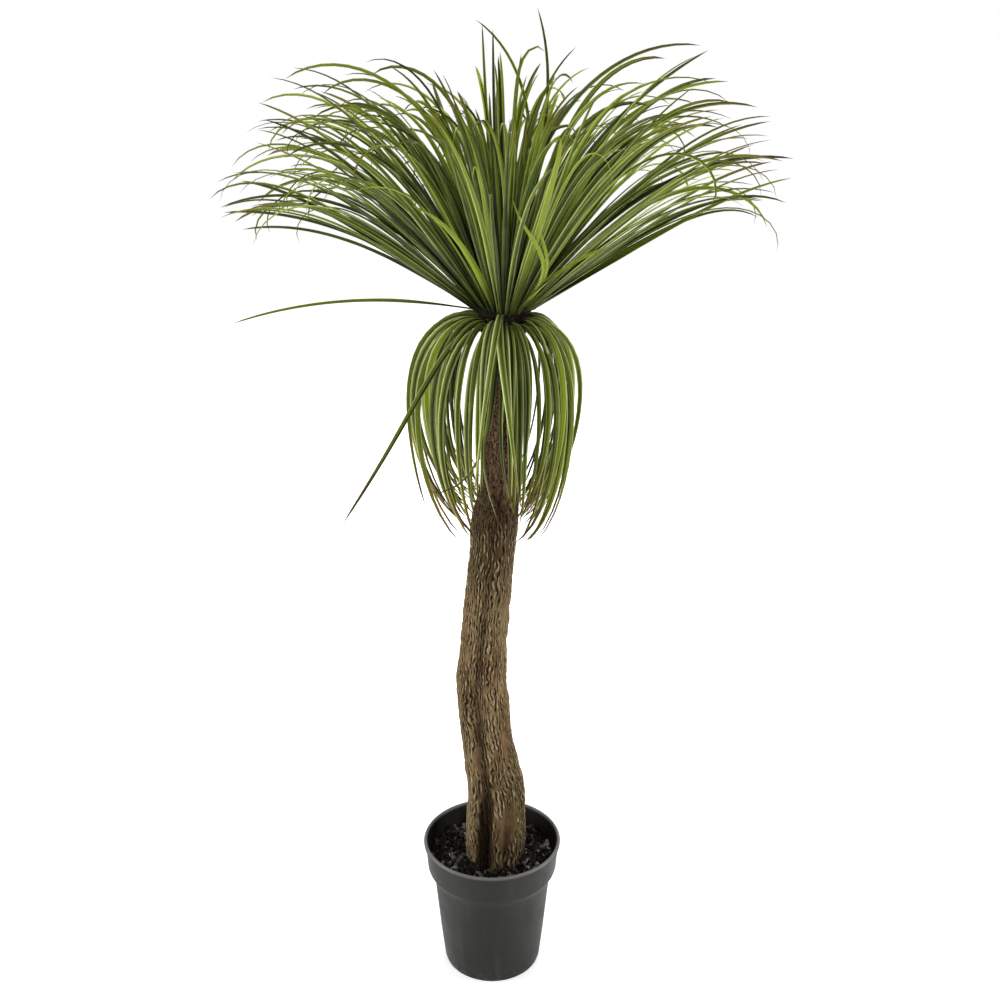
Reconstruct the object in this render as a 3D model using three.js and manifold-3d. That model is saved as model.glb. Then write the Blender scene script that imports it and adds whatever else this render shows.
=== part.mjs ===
// Potted ponytail palm: a fluted bark trunk with a fountain of long leaves on top and a
// skirt of older leaves hanging under it, standing in a round nursery pot of bark mix.
// Millimetres, +Z up. The origin is the middle of the pot's underside.
import * as THREE from "three";
import { mergeVertices } from "three/addons/utils/BufferGeometryUtils.js";
import Module from "manifold-3d";

const wasm = await Module();
wasm.setup();

const radians = THREE.MathUtils.degToRad;
const clearance = 0.4; // between neighbours that touch on the real plant

// Pot
const potHeight = 182;
const potRimRadius = 89.6;
const potWall = 2.2;
const potSides = 32;
const bandFoot = 142; // where the wall steps out to the band under the rim
const baseRadius = 60;
const baseDisc = 30; // the middle of the base stands on the surface out to here
const baseRing = 56; // and again from here
const baseRecess = 1.8; // the ring between them is raised by this
const innerFloor = 4.8;
const rimRoll = 4; // height of the rolled lip
// The outer wall from the foot to under the rim: radius, height
const wallStations = [
  [63.8, 6],
  [75.9, bandFoot - 16],
  [77.4, bandFoot - 11],
  [84.5, bandFoot + 2],
  [87, potHeight - 6],
];
const drains = { count: 8, radius: 5, ring: 44, sides: 10 };

// Bark mix in the pot
const soil = {
  level: 153,
  radius: 82,
  relief: 2.2,
  waves: [9, 8, 5], // lengths of the lumps, over x, over y and across both
  rings: [0.999, 0.8, 0.6, 0.46], // shares of the radius at which the lumpy top has its points
  chips: 22,
  seed: 11,
  chipReach: [38, 72],
  chipThick: [3, 5],
  chipLong: [10, 17],
  chipHigh: [2.4, 3.4],
  chipTilt: 36,
};

// Trunk stations, from the buried foot to the crown: height, centre x, centre y, radius
const trunkStations = [
  [60, 4, 0, 33],
  [148, 4.6, 0, 38],
  [200, 5.4, 2, 38.5],
  [253, 5.2, 4, 36.8],
  [327, -5.8, 7, 32.6],
  [378, -11, 9, 33.2],
  [404, -13, 9, 32.4],
  [464, -9.9, 7, 29.4],
  [507, -6.5, 4, 29.2],
  [547, -2.2, 1, 28.6],
  [597, 2, -1, 28.4],
  [622, 4, -2, 28.8],
  [672, 9.3, -4, 23.6],
  [723, 11.3, -5, 21.2],
  [798, 12.8, -4, 20.8],
  [852, 13.6, -3, 22],
  [868, 14, -3, 25],
  [876, 14, -3, 28],
];
const trunkSides = 24;
const trunkRings = 36;
const barkStart = 140; // the bark ridges begin just under the top of the mix
const barkRidge = 1.1;
const barkSwell = { share: 0.5, length: 21, shift: 2.4 }; // the ridges' waves along the trunk
const grooveFade = 0.75; // share of a long groove's depth that is lost by the crown
// The long grooves between the trunk's flutes: degrees round from +X at the foot, turn to the top, depth
const grooves = [
  { foot: 243, turn: 40, depth: 6.2, halfWidth: 16 },
  { foot: 330, turn: 25, depth: 3.2, halfWidth: 18 },
  { foot: 52, turn: 40, depth: 4.6, halfWidth: 20 },
  { foot: 150, turn: 30, depth: 3.8, halfWidth: 18 },
];
// The deeper ones that part the foot into lobes, and the heights between which they fade
const footGrooves = [
  { foot: 241, depth: 12, halfWidth: 14 },
  { foot: 290, depth: 4, halfWidth: 8 },
  { foot: 128, depth: 6, halfWidth: 10 },
  { foot: 20, depth: 4, halfWidth: 9 },
];
const footFade = [185, 268];

// Crown: the heart that the fountain grows from, and the collar of the skirt under it
const crownX = 14;
const crownY = -3;
const crownFloor = 876;
const heart = { radius: 37, height: 34, rootRadius: 32, rootFloor: 3.2, rootDome: 26, sides: 20 };
const collar = { bottom: 855, top: 873, radius: 30.5, hole: 12, rootRadius: 26, sides: 24 };

// Leaves. A leaf's centre line is walked in equal steps, and has a section at some of them.
const pathSteps = 24;
const gentleSections = [0, 9, 15, 20, 24];
const archedSections = [0, 8, 14, 18, 21, 24];
const hangingSections = [0, 3, 7, 15, 24];
const widestShare = 0.28; // of the length, where a leaf is widest
const rollShare = 0.35; // where it has taken up its roll
const rootWidth = 0.42; // share of the full width at the root
const narrowing = 0.6; // share of the width lost by the point
const keel = { root: 1.7, tip: 1 }; // how far the underside stands below the edges
const goldenTurn = radians(137.50776);

// Fountain, from the youngest leaf in the middle to the oldest outside. Angles in degrees.
const fountain = {
  count: 202,
  seed: 7,
  turnJitter: 20,
  widestLean: 58, // of the oldest, from straight up
  frontLift: 15, // in front, at 270 degrees round, they lean out this much less
  leanJitter: 8,
  droop: [44, 126], // further lean at the tip
  oldDroop: 0.48, // share by which the oldest droop less
  leftDroop: 0.12, // and by which they droop more on the left and less on the right
  frontDroop: 0.5, // and share by which they droop less in front
  lowestTip: 136, // no tip leans further than this
  bend: [2.2, 4.2], // higher bends later
  rise: [184, 262], // no tip stands higher over its root than this
  longest: 336,
  oldLoss: 22, // the oldest are this much shorter
  lengthJitter: 36,
  swing: 44,
  roll: 90,
  twist: 60,
  width: [7, 10.4],
  frontNarrow: 0.22, // in front they are narrower by this share
  archedDroop: 112, // a leaf that droops more has more sections
  leftOut: 182, // the low one at the far left, in whose place a shorter one is set by hand
};

// Leaves that the eye picks out, set by hand: degrees round from +X, lean from straight up at the
// root and at the tip, length, bend, sideways swing in degrees, width. The last four are short ones
// that curl in front of the rest, rooted low on the heart.
const markedLeaves = [
  { round: 184, lean: 80, tipLean: 108, length: 272, bend: 1.2, swing: 0, width: 7.5 },
  { round: 0, lean: 13, tipLean: -20, length: 297, bend: 3, swing: 0, width: 7 },
  { round: 180, lean: 5, tipLean: 2, length: 276, bend: 1.4, swing: 0, width: 7 },
  { round: 180, lean: 3, tipLean: 0, length: 270, bend: 1.5, swing: 0, width: 7 },
  { round: 0, lean: 11, tipLean: -58, length: 300, bend: 2.6, swing: 0, width: 7 },
  { round: 0, lean: 3, tipLean: 165, length: 272, bend: 16, swing: 0, width: 8.5 },
  { round: 180, lean: 14, tipLean: 124, length: 366, bend: 2.4, swing: 0, width: 8 },
  { round: 180, lean: 14, tipLean: 132, length: 325, bend: 3, swing: 0, width: 8 },
  { round: 180, lean: 9, tipLean: 128, length: 302, bend: 4, swing: 0, width: 9 },
  { round: 180, lean: 44, tipLean: 112, length: 318, bend: 1.6, swing: 0, width: 8 },
  { round: 180, lean: 54, tipLean: 94, length: 300, bend: 1.6, swing: 0, width: 8.5 },
  { round: 0, lean: 8, tipLean: 98, length: 362, bend: 1.9, swing: 0, width: 8 },
  { round: 0, lean: 19, tipLean: 62, length: 330, bend: 1.2, swing: 0, width: 8 },
  { round: 0, lean: 22, tipLean: 92, length: 335, bend: 2, swing: 0, width: 8.5 },
  { round: 0, lean: 28, tipLean: 105, length: 345, bend: 2.2, swing: 0, width: 9 },
  { round: 0, lean: 42, tipLean: 98, length: 338, bend: 1.8, swing: 0, width: 8.5 },
  { round: 0, lean: 46, tipLean: 160, length: 320, bend: 3, swing: 0, width: 8.5 },
  { round: 196, lean: 20, tipLean: 128, length: 304, bend: 3, swing: 0, width: 8.5 },
  { round: 168, lean: 25, tipLean: 122, length: 304, bend: 2.6, swing: 0, width: 8.5 },
  { round: 206, lean: 31, tipLean: 126, length: 300, bend: 2.8, swing: 0, width: 8.5 },
  { round: 176, lean: 58, tipLean: 100, length: 280, bend: 2, swing: 0, width: 8 },
  { round: 306, lean: 50, tipLean: 10, length: 150, bend: 4, swing: -100, width: 6, dome: 1.45 },
  { round: 302, lean: 51, tipLean: 8, length: 191, bend: 4.8, swing: -144, width: 6, dome: 1.45 },
  { round: 300, lean: 52, tipLean: 74, length: 142, bend: 4, swing: 85, width: 7, dome: 1.45 },
  { round: 253, lean: 46, tipLean: 71, length: 200, bend: 5.2, swing: -45, width: 7, dome: 1.45 },
];
const markedRoll = 35;
const markedTwist = 20;

// Skirt of older leaves, in bunches that part on both sides of the front. Angles in degrees.
const skirt = {
  bunches: [
    { from: 120, to: 245, count: 23 },
    { from: -61, to: 58, count: 20 },
    { from: 82, to: 98, count: 3 },
  ],
  seed: 23,
  placeJitter: 0.8, // share of the room between neighbours
  rootHeights: [862, 866, 870],
  lean: [62, 76],
  tierLean: 4, // each tier above starts out steeper by this
  tipLean: [179, 185],
  bend: [3.4, 5.1], // higher bends sooner
  rightBend: 2.8, // and leaves on the right sooner still
  tuck: [32, 56], // the last of a leaf turns in by this much more
  length: [264, 324],
  swing: 24,
  roll: 50,
  faceTurn: 50, // leaves at the sides turn their upper side to the front by this much
  twist: 40,
  width: [6.6, 9.4],
};
// Hanging leaves that the eye picks out. The last is the stray one that stands away to the left.
const markedSkirt = [
  { round: 255, high: 870, lean: 72, tipLean: 175, bend: 3.1, tuck: 6, length: 231, swing: 16, width: 7.5 },
  { round: 259, high: 866, lean: 51, tipLean: 175, bend: 2.5, tuck: 30, length: 260, swing: 24, width: 7 },
  { round: 267, high: 870, lean: 40, tipLean: 172, bend: 3, tuck: 0, length: 262, swing: -70, width: 7.5 },
  { round: 266, high: 866, lean: 43, tipLean: 172, bend: 3, tuck: 0, length: 258, swing: 86, width: 8.5 },
  { round: 271, high: 862, lean: 50, tipLean: 176, bend: 3, tuck: 6, length: 250, swing: 30, width: 8.5 },
  { round: 277, high: 862, lean: 66, tipLean: 179, bend: 3.6, tuck: 16, length: 246, swing: -6, width: 8 },
  { round: 283, high: 866, lean: 76, tipLean: 181, bend: 4.3, tuck: 24, length: 240, swing: -20, width: 8.5 },
  { round: 289, high: 870, lean: 77, tipLean: 180, bend: 5.8, tuck: 18, length: 250, swing: -10, width: 8 },
  { round: 187, high: 870, lean: 57, tipLean: 181, bend: 4.1, tuck: 17, length: 282, swing: -23, width: 6.5 },
  { round: -13, high: 866, lean: 65, tipLean: 185, bend: 4.7, tuck: 34, length: 270, swing: -12, width: 6.5 },
  { round: 250, high: 862, lean: 70, tipLean: 182, bend: 3, tuck: 18, length: 256, swing: -10, width: 8 },
  { round: 229, high: 870, lean: 79, tipLean: 140, bend: 5.9, tuck: 0, length: 294, swing: -18, width: 7.5 },
];
const markedSkirtRoll = 8;

const shortestEdge = 0.005; // of a joined solid

function solidOf(geometry) {
  const bare = geometry.clone();
  bare.deleteAttribute("normal");
  bare.deleteAttribute("uv");
  const merged = mergeVertices(bare, 1e-4);
  return new wasm.Manifold(
    new wasm.Mesh({
      numProp: 3,
      vertProperties: new Float32Array(merged.attributes.position.array),
      triVerts: new Uint32Array(merged.index.array),
    }),
  );
}

function geometryOf(solid) {
  const mesh = solid.getMesh();
  const geometry = new THREE.BufferGeometry();
  geometry.setAttribute("position", new THREE.BufferAttribute(mesh.vertProperties, 3));
  geometry.setIndex(new THREE.BufferAttribute(mesh.triVerts, 1));
  geometry.computeVertexNormals();
  return geometry;
}

// The largest body of a joined solid, with any sealed hollow filled and loose scraps dropped. Edges
// too short to see, where leaves all but meet, are merged away first.
function wholeBody(solid) {
  const bodies = solid.simplify(shortestEdge).decompose();
  return bodies.reduce((best, body) => (body.volume() > best.volume() ? body : best));
}

// A closed skin over rings of points, all with the same count. A single point closes an end. Each
// four-sided patch is split along one diagonal, and those of a turned side along the other.
function skinOf(rings, turnedSide = -1) {
  const positions = [];
  const triangles = [];
  const starts = rings.map((ring) => {
    const start = positions.length / 3;
    ring.forEach((point) => positions.push(point.x, point.y, point.z));
    return start;
  });
  const around = rings[0].length;
  for (let level = 0; level + 1 < rings.length; level++) {
    const low = starts[level];
    const high = starts[level + 1];
    const closes = rings[level + 1].length === 1;
    for (let side = 0; side < around; side++) {
      const next = (side + 1) % around;
      if (closes) triangles.push(low + side, low + next, high);
      else if (side === turnedSide) {
        triangles.push(low + side, low + next, high + side, low + next, high + next, high + side);
      } else triangles.push(low + side, low + next, high + next, low + side, high + next, high + side);
    }
  }
  for (let side = 1; side + 1 < around; side++) triangles.push(starts[0], side + 1, side);
  if (rings.at(-1).length > 1) {
    const last = starts.at(-1);
    for (let side = 1; side + 1 < around; side++) triangles.push(last, last + side, last + side + 1);
  }
  const geometry = new THREE.BufferGeometry();
  geometry.setAttribute("position", new THREE.Float32BufferAttribute(positions, 3));
  geometry.setIndex(triangles);
  return geometry;
}

// The same draws on every run, from 0 to 1.
function seededDraw(seed) {
  let state = seed >>> 0;
  return () => {
    state = (Math.imul(state, 1664525) + 1013904223) >>> 0;
    return state / 4294967296;
  };
}

const within = ([least, most], draw) => least + (most - least) * draw();
const eitherWay = (range, draw) => range * (draw() - 0.5);

function latheUpright(profile, sides) {
  const points = profile.map(([radius, height]) => new THREE.Vector2(radius, height));
  return new THREE.LatheGeometry(points, sides).rotateX(Math.PI / 2);
}

// The pot's inner wall, from the floor up: radius, height
function innerWall() {
  return wallStations.map(([radius, height], station) => [
    radius - potWall,
    station === 0 ? innerFloor : height + 1,
  ]);
}

// Pot: a tapered body, a step out to a wider band, and a rolled rim.
function potProfile() {
  const [rimInner, rimInnerHeight] = innerWall().at(-1);
  return [
    [0, 0],
    [baseDisc, 0],
    [baseDisc + 2, baseRecess],
    [baseRing - 2, baseRecess],
    [baseRing, 0],
    [baseRadius, 0],
    ...wallStations,
    [potRimRadius, potHeight - rimRoll],
    [potRimRadius, potHeight - 1],
    [potRimRadius - 1.2, potHeight],
    [rimInner + 1.4, potHeight],
    [rimInner, rimInnerHeight + 2],
    ...innerWall().slice(0, -1).reverse(),
    [0, innerFloor],
  ];
}

function makePot() {
  const holes = Array.from({ length: drains.count }, (_, hole) => {
    const turn = (2 * Math.PI * (hole + 0.5)) / drains.count;
    const cutter = new THREE.CylinderGeometry(drains.radius, drains.radius, 4 * innerFloor, drains.sides);
    cutter.rotateX(Math.PI / 2);
    cutter.translate(drains.ring * Math.cos(turn), drains.ring * Math.sin(turn), 0);
    return solidOf(cutter);
  });
  return holes.reduce((pot, hole) => pot.subtract(hole), solidOf(latheUpright(potProfile(), potSides)));
}

// Trunk: a value between stations, on a smooth curve through them.
function alongTrunk(height, column) {
  const last = trunkStations.length - 1;
  let span = 0;
  while (span < last - 1 && height > trunkStations[span + 1][0]) span++;
  const slope = (at) => {
    const low = trunkStations[Math.max(at - 1, 0)];
    const high = trunkStations[Math.min(at + 1, last)];
    return (high[column] - low[column]) / (high[0] - low[0]);
  };
  const [from, to] = [trunkStations[span], trunkStations[span + 1]];
  const run = to[0] - from[0];
  const t = (height - from[0]) / run;
  return (
    from[column] * (2 * t ** 3 - 3 * t ** 2 + 1) +
    slope(span) * run * (t ** 3 - 2 * t ** 2 + t) +
    to[column] * (3 * t ** 2 - 2 * t ** 3) +
    slope(span + 1) * run * (t ** 3 - t ** 2)
  );
}

// How far the grooves cut in, at an angle round the trunk. They fade into the foot and the neck.
function grooveDepth(turn, height) {
  const [foot, crown] = [trunkStations[0][0], trunkStations.at(-1)[0]];
  const share = (height - foot) / (crown - foot);
  const buried = Math.min(Math.max((height - foot - 40) / 60, 0), 1);
  const past = Math.min(Math.max((height - footFade[0]) / (footFade[1] - footFade[0]), 0), 1);
  const cutBy = (groove, at, strength) => {
    const off = turn - radians(at);
    const wrapped = Math.atan2(Math.sin(off), Math.cos(off));
    return groove.depth * strength * Math.exp(-((wrapped / radians(groove.halfWidth)) ** 2));
  };
  const longFade = buried * (1 - grooveFade * share);
  const long = grooves.map((groove) => cutBy(groove, groove.foot + groove.turn * share, longFade));
  const short = footGrooves.map((groove) => cutBy(groove, groove.foot, buried * (1 - past)));
  return [...long, ...short].reduce((sum, depth) => sum + depth, 0);
}

// The bark's ridges run up the trunk, every second side a ridge, and swell and fade as they go.
function barkHeight(side, height) {
  if (height < barkStart) return 0;
  const sign = side % 2 ? 1 : -1;
  const swell = 1 + barkSwell.share * Math.sin(height / barkSwell.length + barkSwell.shift * side);
  return (sign * barkRidge * swell * alongTrunk(height, 3)) / trunkStations[0][3];
}

function makeTrunk(grow) {
  const [foot, crown] = [trunkStations[0][0] - grow, trunkStations.at(-1)[0]];
  const rings = Array.from({ length: trunkRings + 1 }, (_, ring) => {
    const height = foot + ((crown - foot) * ring) / trunkRings;
    return Array.from({ length: trunkSides }, (_, side) => {
      const turn = (2 * Math.PI * side) / trunkSides;
      const radius = alongTrunk(height, 3) - grooveDepth(turn, height) + barkHeight(side, height) + grow;
      return new THREE.Vector3(
        alongTrunk(height, 1) + radius * Math.cos(turn),
        alongTrunk(height, 2) + radius * Math.sin(turn),
        height,
      );
    });
  });
  return solidOf(skinOf(rings));
}

// Bark mix: fills the pot to just above the foot of its band, with a lumpy top and loose chips in it.
function soilTop(x, y) {
  const [overX, overY, across] = soil.waves;
  const lumps = Math.sin(x / overX + 1.3) * Math.cos(y / overY - 0.4) + 0.5 * Math.sin((x + y) / across);
  return soil.level + soil.relief * lumps;
}

function makeChip(draw) {
  const turn = 2 * Math.PI * draw();
  const [least, most] = soil.chipReach;
  const reach = least + (most - least) * Math.sqrt(draw());
  const [x, y] = [reach * Math.cos(turn), reach * Math.sin(turn)];
  const chip = new THREE.BoxGeometry(
    within(soil.chipThick, draw),
    within(soil.chipLong, draw),
    within(soil.chipHigh, draw),
  );
  chip.rotateX(radians(eitherWay(soil.chipTilt, draw)));
  chip.rotateZ(2 * Math.PI * draw());
  chip.translate(x, y, soilTop(x, y) + 0.4);
  return solidOf(chip);
}

function makeSoil(trunkRoom) {
  const ringAt = (radius, heightAt) =>
    Array.from({ length: potSides }, (_, side) => {
      const turn = (2 * Math.PI * side) / potSides;
      const [x, y] = [radius * Math.cos(turn), radius * Math.sin(turn)];
      return new THREE.Vector3(x, y, heightAt(x, y));
    });
  const sides = innerWall().slice(0, -1);
  const rings = [
    ...sides.map(([radius, height], station) =>
      ringAt(radius - clearance, () => (station === 0 ? height + clearance : height)),
    ),
    ringAt(soil.radius, () => soil.level - 3),
    ...soil.rings.map((share) => ringAt(soil.radius * share, soilTop)),
    [new THREE.Vector3(0, 0, soilTop(0, 0))],
  ];
  const draw = seededDraw(soil.seed);
  const chips = Array.from({ length: soil.chips }, () => makeChip(draw));
  return wholeBody(wasm.Manifold.union([solidOf(skinOf(rings)), ...chips]).subtract(trunkRoom));
}

// A leaf's centre line, with a side and an upper direction at each step.
function leafPath(leaf) {
  const steps = [];
  const at = leaf.root.clone();
  const stride = leaf.length / pathSteps;
  const frameAt = (share) => {
    const turned = leaf.hangs ? 1 - (1 - share) ** leaf.bend : share ** leaf.bend;
    const tucked = leaf.hangs ? leaf.tuck * share ** 3 : 0;
    const lean = radians(leaf.lean + (leaf.tipLean - leaf.lean) * turned + tucked);
    const round = leaf.round + leaf.swing * share ** 2;
    const along = new THREE.Vector3(
      Math.sin(lean) * Math.cos(round),
      Math.sin(lean) * Math.sin(round),
      Math.cos(lean),
    );
    const flat = new THREE.Vector3(-Math.sin(round), Math.cos(round), 0);
    const up = along.clone().cross(flat);
    const roll = leaf.roll * Math.min(share / rollShare, 1) + leaf.twist * share;
    const side = flat.clone().multiplyScalar(Math.cos(roll)).addScaledVector(up, Math.sin(roll));
    return { along, side, up: along.clone().cross(side) };
  };
  for (let step = 0; step <= pathSteps; step++) {
    steps.push({ at: at.clone(), ...frameAt(step / pathSteps) });
    at.addScaledVector(frameAt((step + 0.5) / pathSteps).along, stride);
  }
  return steps;
}

// How wide a leaf is along its length: narrow at the root, and still over a third as wide by the point.
function widthShare(share) {
  const swell = rootWidth + (1 - rootWidth) * Math.min(share / widestShare, 1);
  return swell * (1 - narrowing * Math.max(0, (share - widestShare) / (1 - widestShare)));
}

// A leaf is a three-sided blade, flat above and keeled below. Its upper side is split along the same
// diagonals as the two lower ones, so that they stay apart where the leaf twists.
function makeBlade(leaf) {
  const path = leafPath(leaf);
  const rings = leaf.sections.map((step) => {
    const { at, side, up } = path[step];
    if (step === pathSteps) return [at];
    const share = step / pathSteps;
    const half = (leaf.width * widthShare(share)) / 2;
    const deep = keel.root + (keel.tip - keel.root) * share;
    return [
      at.clone().addScaledVector(side, -half),
      at.clone().addScaledVector(up, -deep),
      at.clone().addScaledVector(side, half),
    ];
  });
  return solidOf(skinOf(rings, 2));
}

// Where a leaf of the fountain is rooted, on a low dome inside the heart.
function heartPoint(dome, round) {
  const reach = heart.rootRadius * Math.sin(dome);
  return new THREE.Vector3(
    crownX + reach * Math.cos(round),
    crownY + reach * Math.sin(round),
    crownFloor + heart.rootFloor + heart.rootDome * Math.cos(dome),
  );
}

// Leaves spiral out of the heart, the youngest upright in the middle and the oldest leaning out.
function fountainRule() {
  const draw = seededDraw(fountain.seed);
  const leaves = [];
  for (let index = 0; index < fountain.count; index++) {
    const age = (index + 0.5) / fountain.count;
    const round = index * goldenTurn + radians(eitherWay(fountain.turnJitter, draw));
    const dome = Math.acos(1 - age);
    const inFront = Math.max(0, -Math.sin(round)) ** 2;
    const widest = fountain.widestLean - fountain.frontLift * inFront;
    const lean = (widest * dome) / (Math.PI / 2) + eitherWay(fountain.leanJitter, draw);
    const sideways = 1 - fountain.leftDroop * age * Math.cos(round);
    const drawn = within(fountain.droop, draw) * sideways * (1 - fountain.frontDroop * inFront);
    const droop = Math.min(drawn * (1 - fountain.oldDroop * age), fountain.lowestTip - lean);
    const bend = within(fountain.bend, draw);
    const highest = within(fountain.rise, draw) / Math.cos(radians(lean + droop / (bend + 1)));
    const grown = fountain.longest - fountain.oldLoss * age + eitherWay(fountain.lengthJitter, draw);
    leaves.push({
      root: heartPoint(dome, round),
      round,
      lean,
      tipLean: lean + droop,
      length: Math.min(grown, highest),
      bend,
      swing: radians(eitherWay(fountain.swing, draw)),
      roll: radians(eitherWay(fountain.roll, draw)),
      twist: radians(eitherWay(fountain.twist, draw)),
      width: within(fountain.width, draw) * (1 - fountain.frontNarrow * inFront),
      sections: droop < fountain.archedDroop ? gentleSections : archedSections,
    });
  }
  leaves.splice(fountain.leftOut, 1);
  for (const marked of markedLeaves) {
    const round = radians(marked.round);
    const gentle = !marked.dome && marked.tipLean - marked.lean < fountain.archedDroop;
    leaves.push({
      ...marked,
      round,
      root: heartPoint(marked.dome ?? Math.min((marked.lean / 60) * (Math.PI / 2), 1.5), round),
      swing: radians(marked.swing),
      roll: radians(markedRoll),
      twist: radians(markedTwist),
      sections: gentle ? gentleSections : archedSections,
    });
  }
  return leaves;
}

function makeFountain() {
  const core = latheUpright(
    [
      [0, 0],
      [heart.radius - 9, 0],
      [heart.radius - 1, 5],
      [heart.radius, 11],
      [heart.radius - 4, 20],
      [heart.radius - 15, heart.height - 4],
      [0, heart.height],
    ],
    heart.sides,
  ).translate(crownX, crownY, crownFloor + clearance);
  return wholeBody(wasm.Manifold.union([solidOf(core), ...fountainRule().map(makeBlade)]));
}

function collarPoint(round, height) {
  return new THREE.Vector3(
    crownX + collar.rootRadius * Math.cos(round),
    crownY + collar.rootRadius * Math.sin(round),
    height,
  );
}

// Older leaves arch out under the fountain and hang round the trunk, their tips drawn in.
function bunchLeaves(bunch, draw) {
  return Array.from({ length: bunch.count }, (_, index) => {
    const share = (index + 0.5 + eitherWay(skirt.placeJitter, draw)) / bunch.count;
    const round = radians(bunch.from + (bunch.to - bunch.from) * share);
    const tier = index % skirt.rootHeights.length;
    return {
      root: collarPoint(round, skirt.rootHeights[tier]),
      round,
      lean: within(skirt.lean, draw) - skirt.tierLean * tier,
      tipLean: within(skirt.tipLean, draw),
      bend: within(skirt.bend, draw) + skirt.rightBend * Math.max(0, Math.cos(round)),
      tuck: within(skirt.tuck, draw),
      length: within(skirt.length, draw),
      swing: radians(eitherWay(skirt.swing, draw)),
      roll: radians(eitherWay(skirt.roll, draw) + skirt.faceTurn * Math.cos(round)),
      twist: radians(eitherWay(skirt.twist, draw)),
      width: within(skirt.width, draw),
      hangs: true,
      sections: hangingSections,
    };
  });
}

function skirtRule() {
  const draw = seededDraw(skirt.seed);
  const marked = markedSkirt.map((leaf) => ({
    ...leaf,
    round: radians(leaf.round),
    root: collarPoint(radians(leaf.round), leaf.high),
    swing: radians(leaf.swing),
    roll: radians(markedSkirtRoll + skirt.faceTurn * Math.cos(radians(leaf.round))),
    twist: 0,
    hangs: true,
    sections: hangingSections,
  }));
  return [...skirt.bunches.flatMap((bunch) => bunchLeaves(bunch, draw)), ...marked];
}

function makeSkirt(trunkRoom) {
  const high = collar.top - collar.bottom;
  const ring = latheUpright(
    [
      [collar.hole, 0],
      [collar.radius - 6, 0],
      [collar.radius, 6],
      [collar.radius, high - 4],
      [collar.radius - 2, high],
      [collar.hole, high],
      [collar.hole, 0],
    ],
    collar.sides,
  ).translate(crownX, crownY, collar.bottom);
  const joined = wasm.Manifold.union([solidOf(ring), ...skirtRule().map(makeBlade)]);
  return wholeBody(joined.subtract(trunkRoom));
}

const finishes = {
  potPlastic: new THREE.MeshStandardMaterial({ color: 0x4b4c4a, roughness: 0.5, metalness: 0 }),
  barkMix: new THREE.MeshStandardMaterial({ color: 0x1d1613, roughness: 0.95, metalness: 0 }),
  bark: new THREE.MeshStandardMaterial({ color: 0x6d5a43, roughness: 0.9, metalness: 0 }),
  youngLeaf: new THREE.MeshStandardMaterial({ color: 0x4f6b22, roughness: 0.45, metalness: 0 }),
  oldLeaf: new THREE.MeshStandardMaterial({ color: 0x66782a, roughness: 0.5, metalness: 0 }),
};

function named(name, solid, finish) {
  const mesh = new THREE.Mesh(geometryOf(solid), finishes[finish]);
  mesh.name = name;
  return mesh;
}

const trunkRoom = makeTrunk(clearance);
const palm = new THREE.Group();
palm.add(
  named("pot", makePot(), "potPlastic"),
  named("bark_mix", makeSoil(trunkRoom), "barkMix"),
  named("trunk", makeTrunk(0), "bark"),
  named("fountain_leaves", makeFountain(), "youngLeaf"),
  named("skirt_leaves", makeSkirt(trunkRoom), "oldLeaf"),
);

export default palm;
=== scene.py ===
# Looks of the potted ponytail palm: pot, trunk, bark mix, leaves and crown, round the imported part.
import math

import bmesh
import bpy
import numpy as np
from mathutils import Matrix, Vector, noise


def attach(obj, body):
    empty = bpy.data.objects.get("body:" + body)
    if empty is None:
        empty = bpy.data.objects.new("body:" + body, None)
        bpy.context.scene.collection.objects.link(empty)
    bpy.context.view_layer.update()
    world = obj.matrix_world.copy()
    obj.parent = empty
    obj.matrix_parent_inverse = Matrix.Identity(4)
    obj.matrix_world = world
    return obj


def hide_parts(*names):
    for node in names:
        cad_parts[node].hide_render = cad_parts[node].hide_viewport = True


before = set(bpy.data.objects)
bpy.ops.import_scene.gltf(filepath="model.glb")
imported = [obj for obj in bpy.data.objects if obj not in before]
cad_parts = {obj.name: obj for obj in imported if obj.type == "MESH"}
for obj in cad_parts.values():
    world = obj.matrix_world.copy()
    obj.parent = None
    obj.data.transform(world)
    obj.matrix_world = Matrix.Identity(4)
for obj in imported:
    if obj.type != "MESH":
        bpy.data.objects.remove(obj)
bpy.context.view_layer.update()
millimetre = 0.001
goldenTurn = math.radians(137.50776)
print("frame loaded:", sorted(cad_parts))


# Draws that come out the same on every run

def seededDraw(seed):
    state = seed

    def draw():
        nonlocal state
        state = (state * 1664525 + 1013904223) % 4294967296
        return state / 4294967296

    return draw


def within(limits, draw):
    return limits[0] + (limits[1] - limits[0]) * draw()


def eitherWay(span, draw):
    return span * (draw() - 0.5)


# Modelling by hand: one primitive at a time, shaped in edit mode

def deselectAll():
    bpy.ops.object.select_all(action="DESELECT")


def makeActive(piece):
    deselectAll()
    piece.select_set(True)
    bpy.context.view_layer.objects.active = piece


def startPiece(name, addPrimitive, **settings):
    deselectAll()
    addPrimitive(**settings)
    piece = bpy.context.active_object
    piece.name = name
    bpy.ops.object.transform_apply(location=True, rotation=True, scale=True)
    return piece


def openEdit(piece):
    makeActive(piece)
    bpy.ops.object.mode_set(mode="EDIT")
    bpy.ops.mesh.select_all(action="DESELECT")


def closeEdit():
    bpy.ops.object.mode_set(mode="OBJECT")


def selectWhole():
    bpy.ops.mesh.select_all(action="SELECT")


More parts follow.
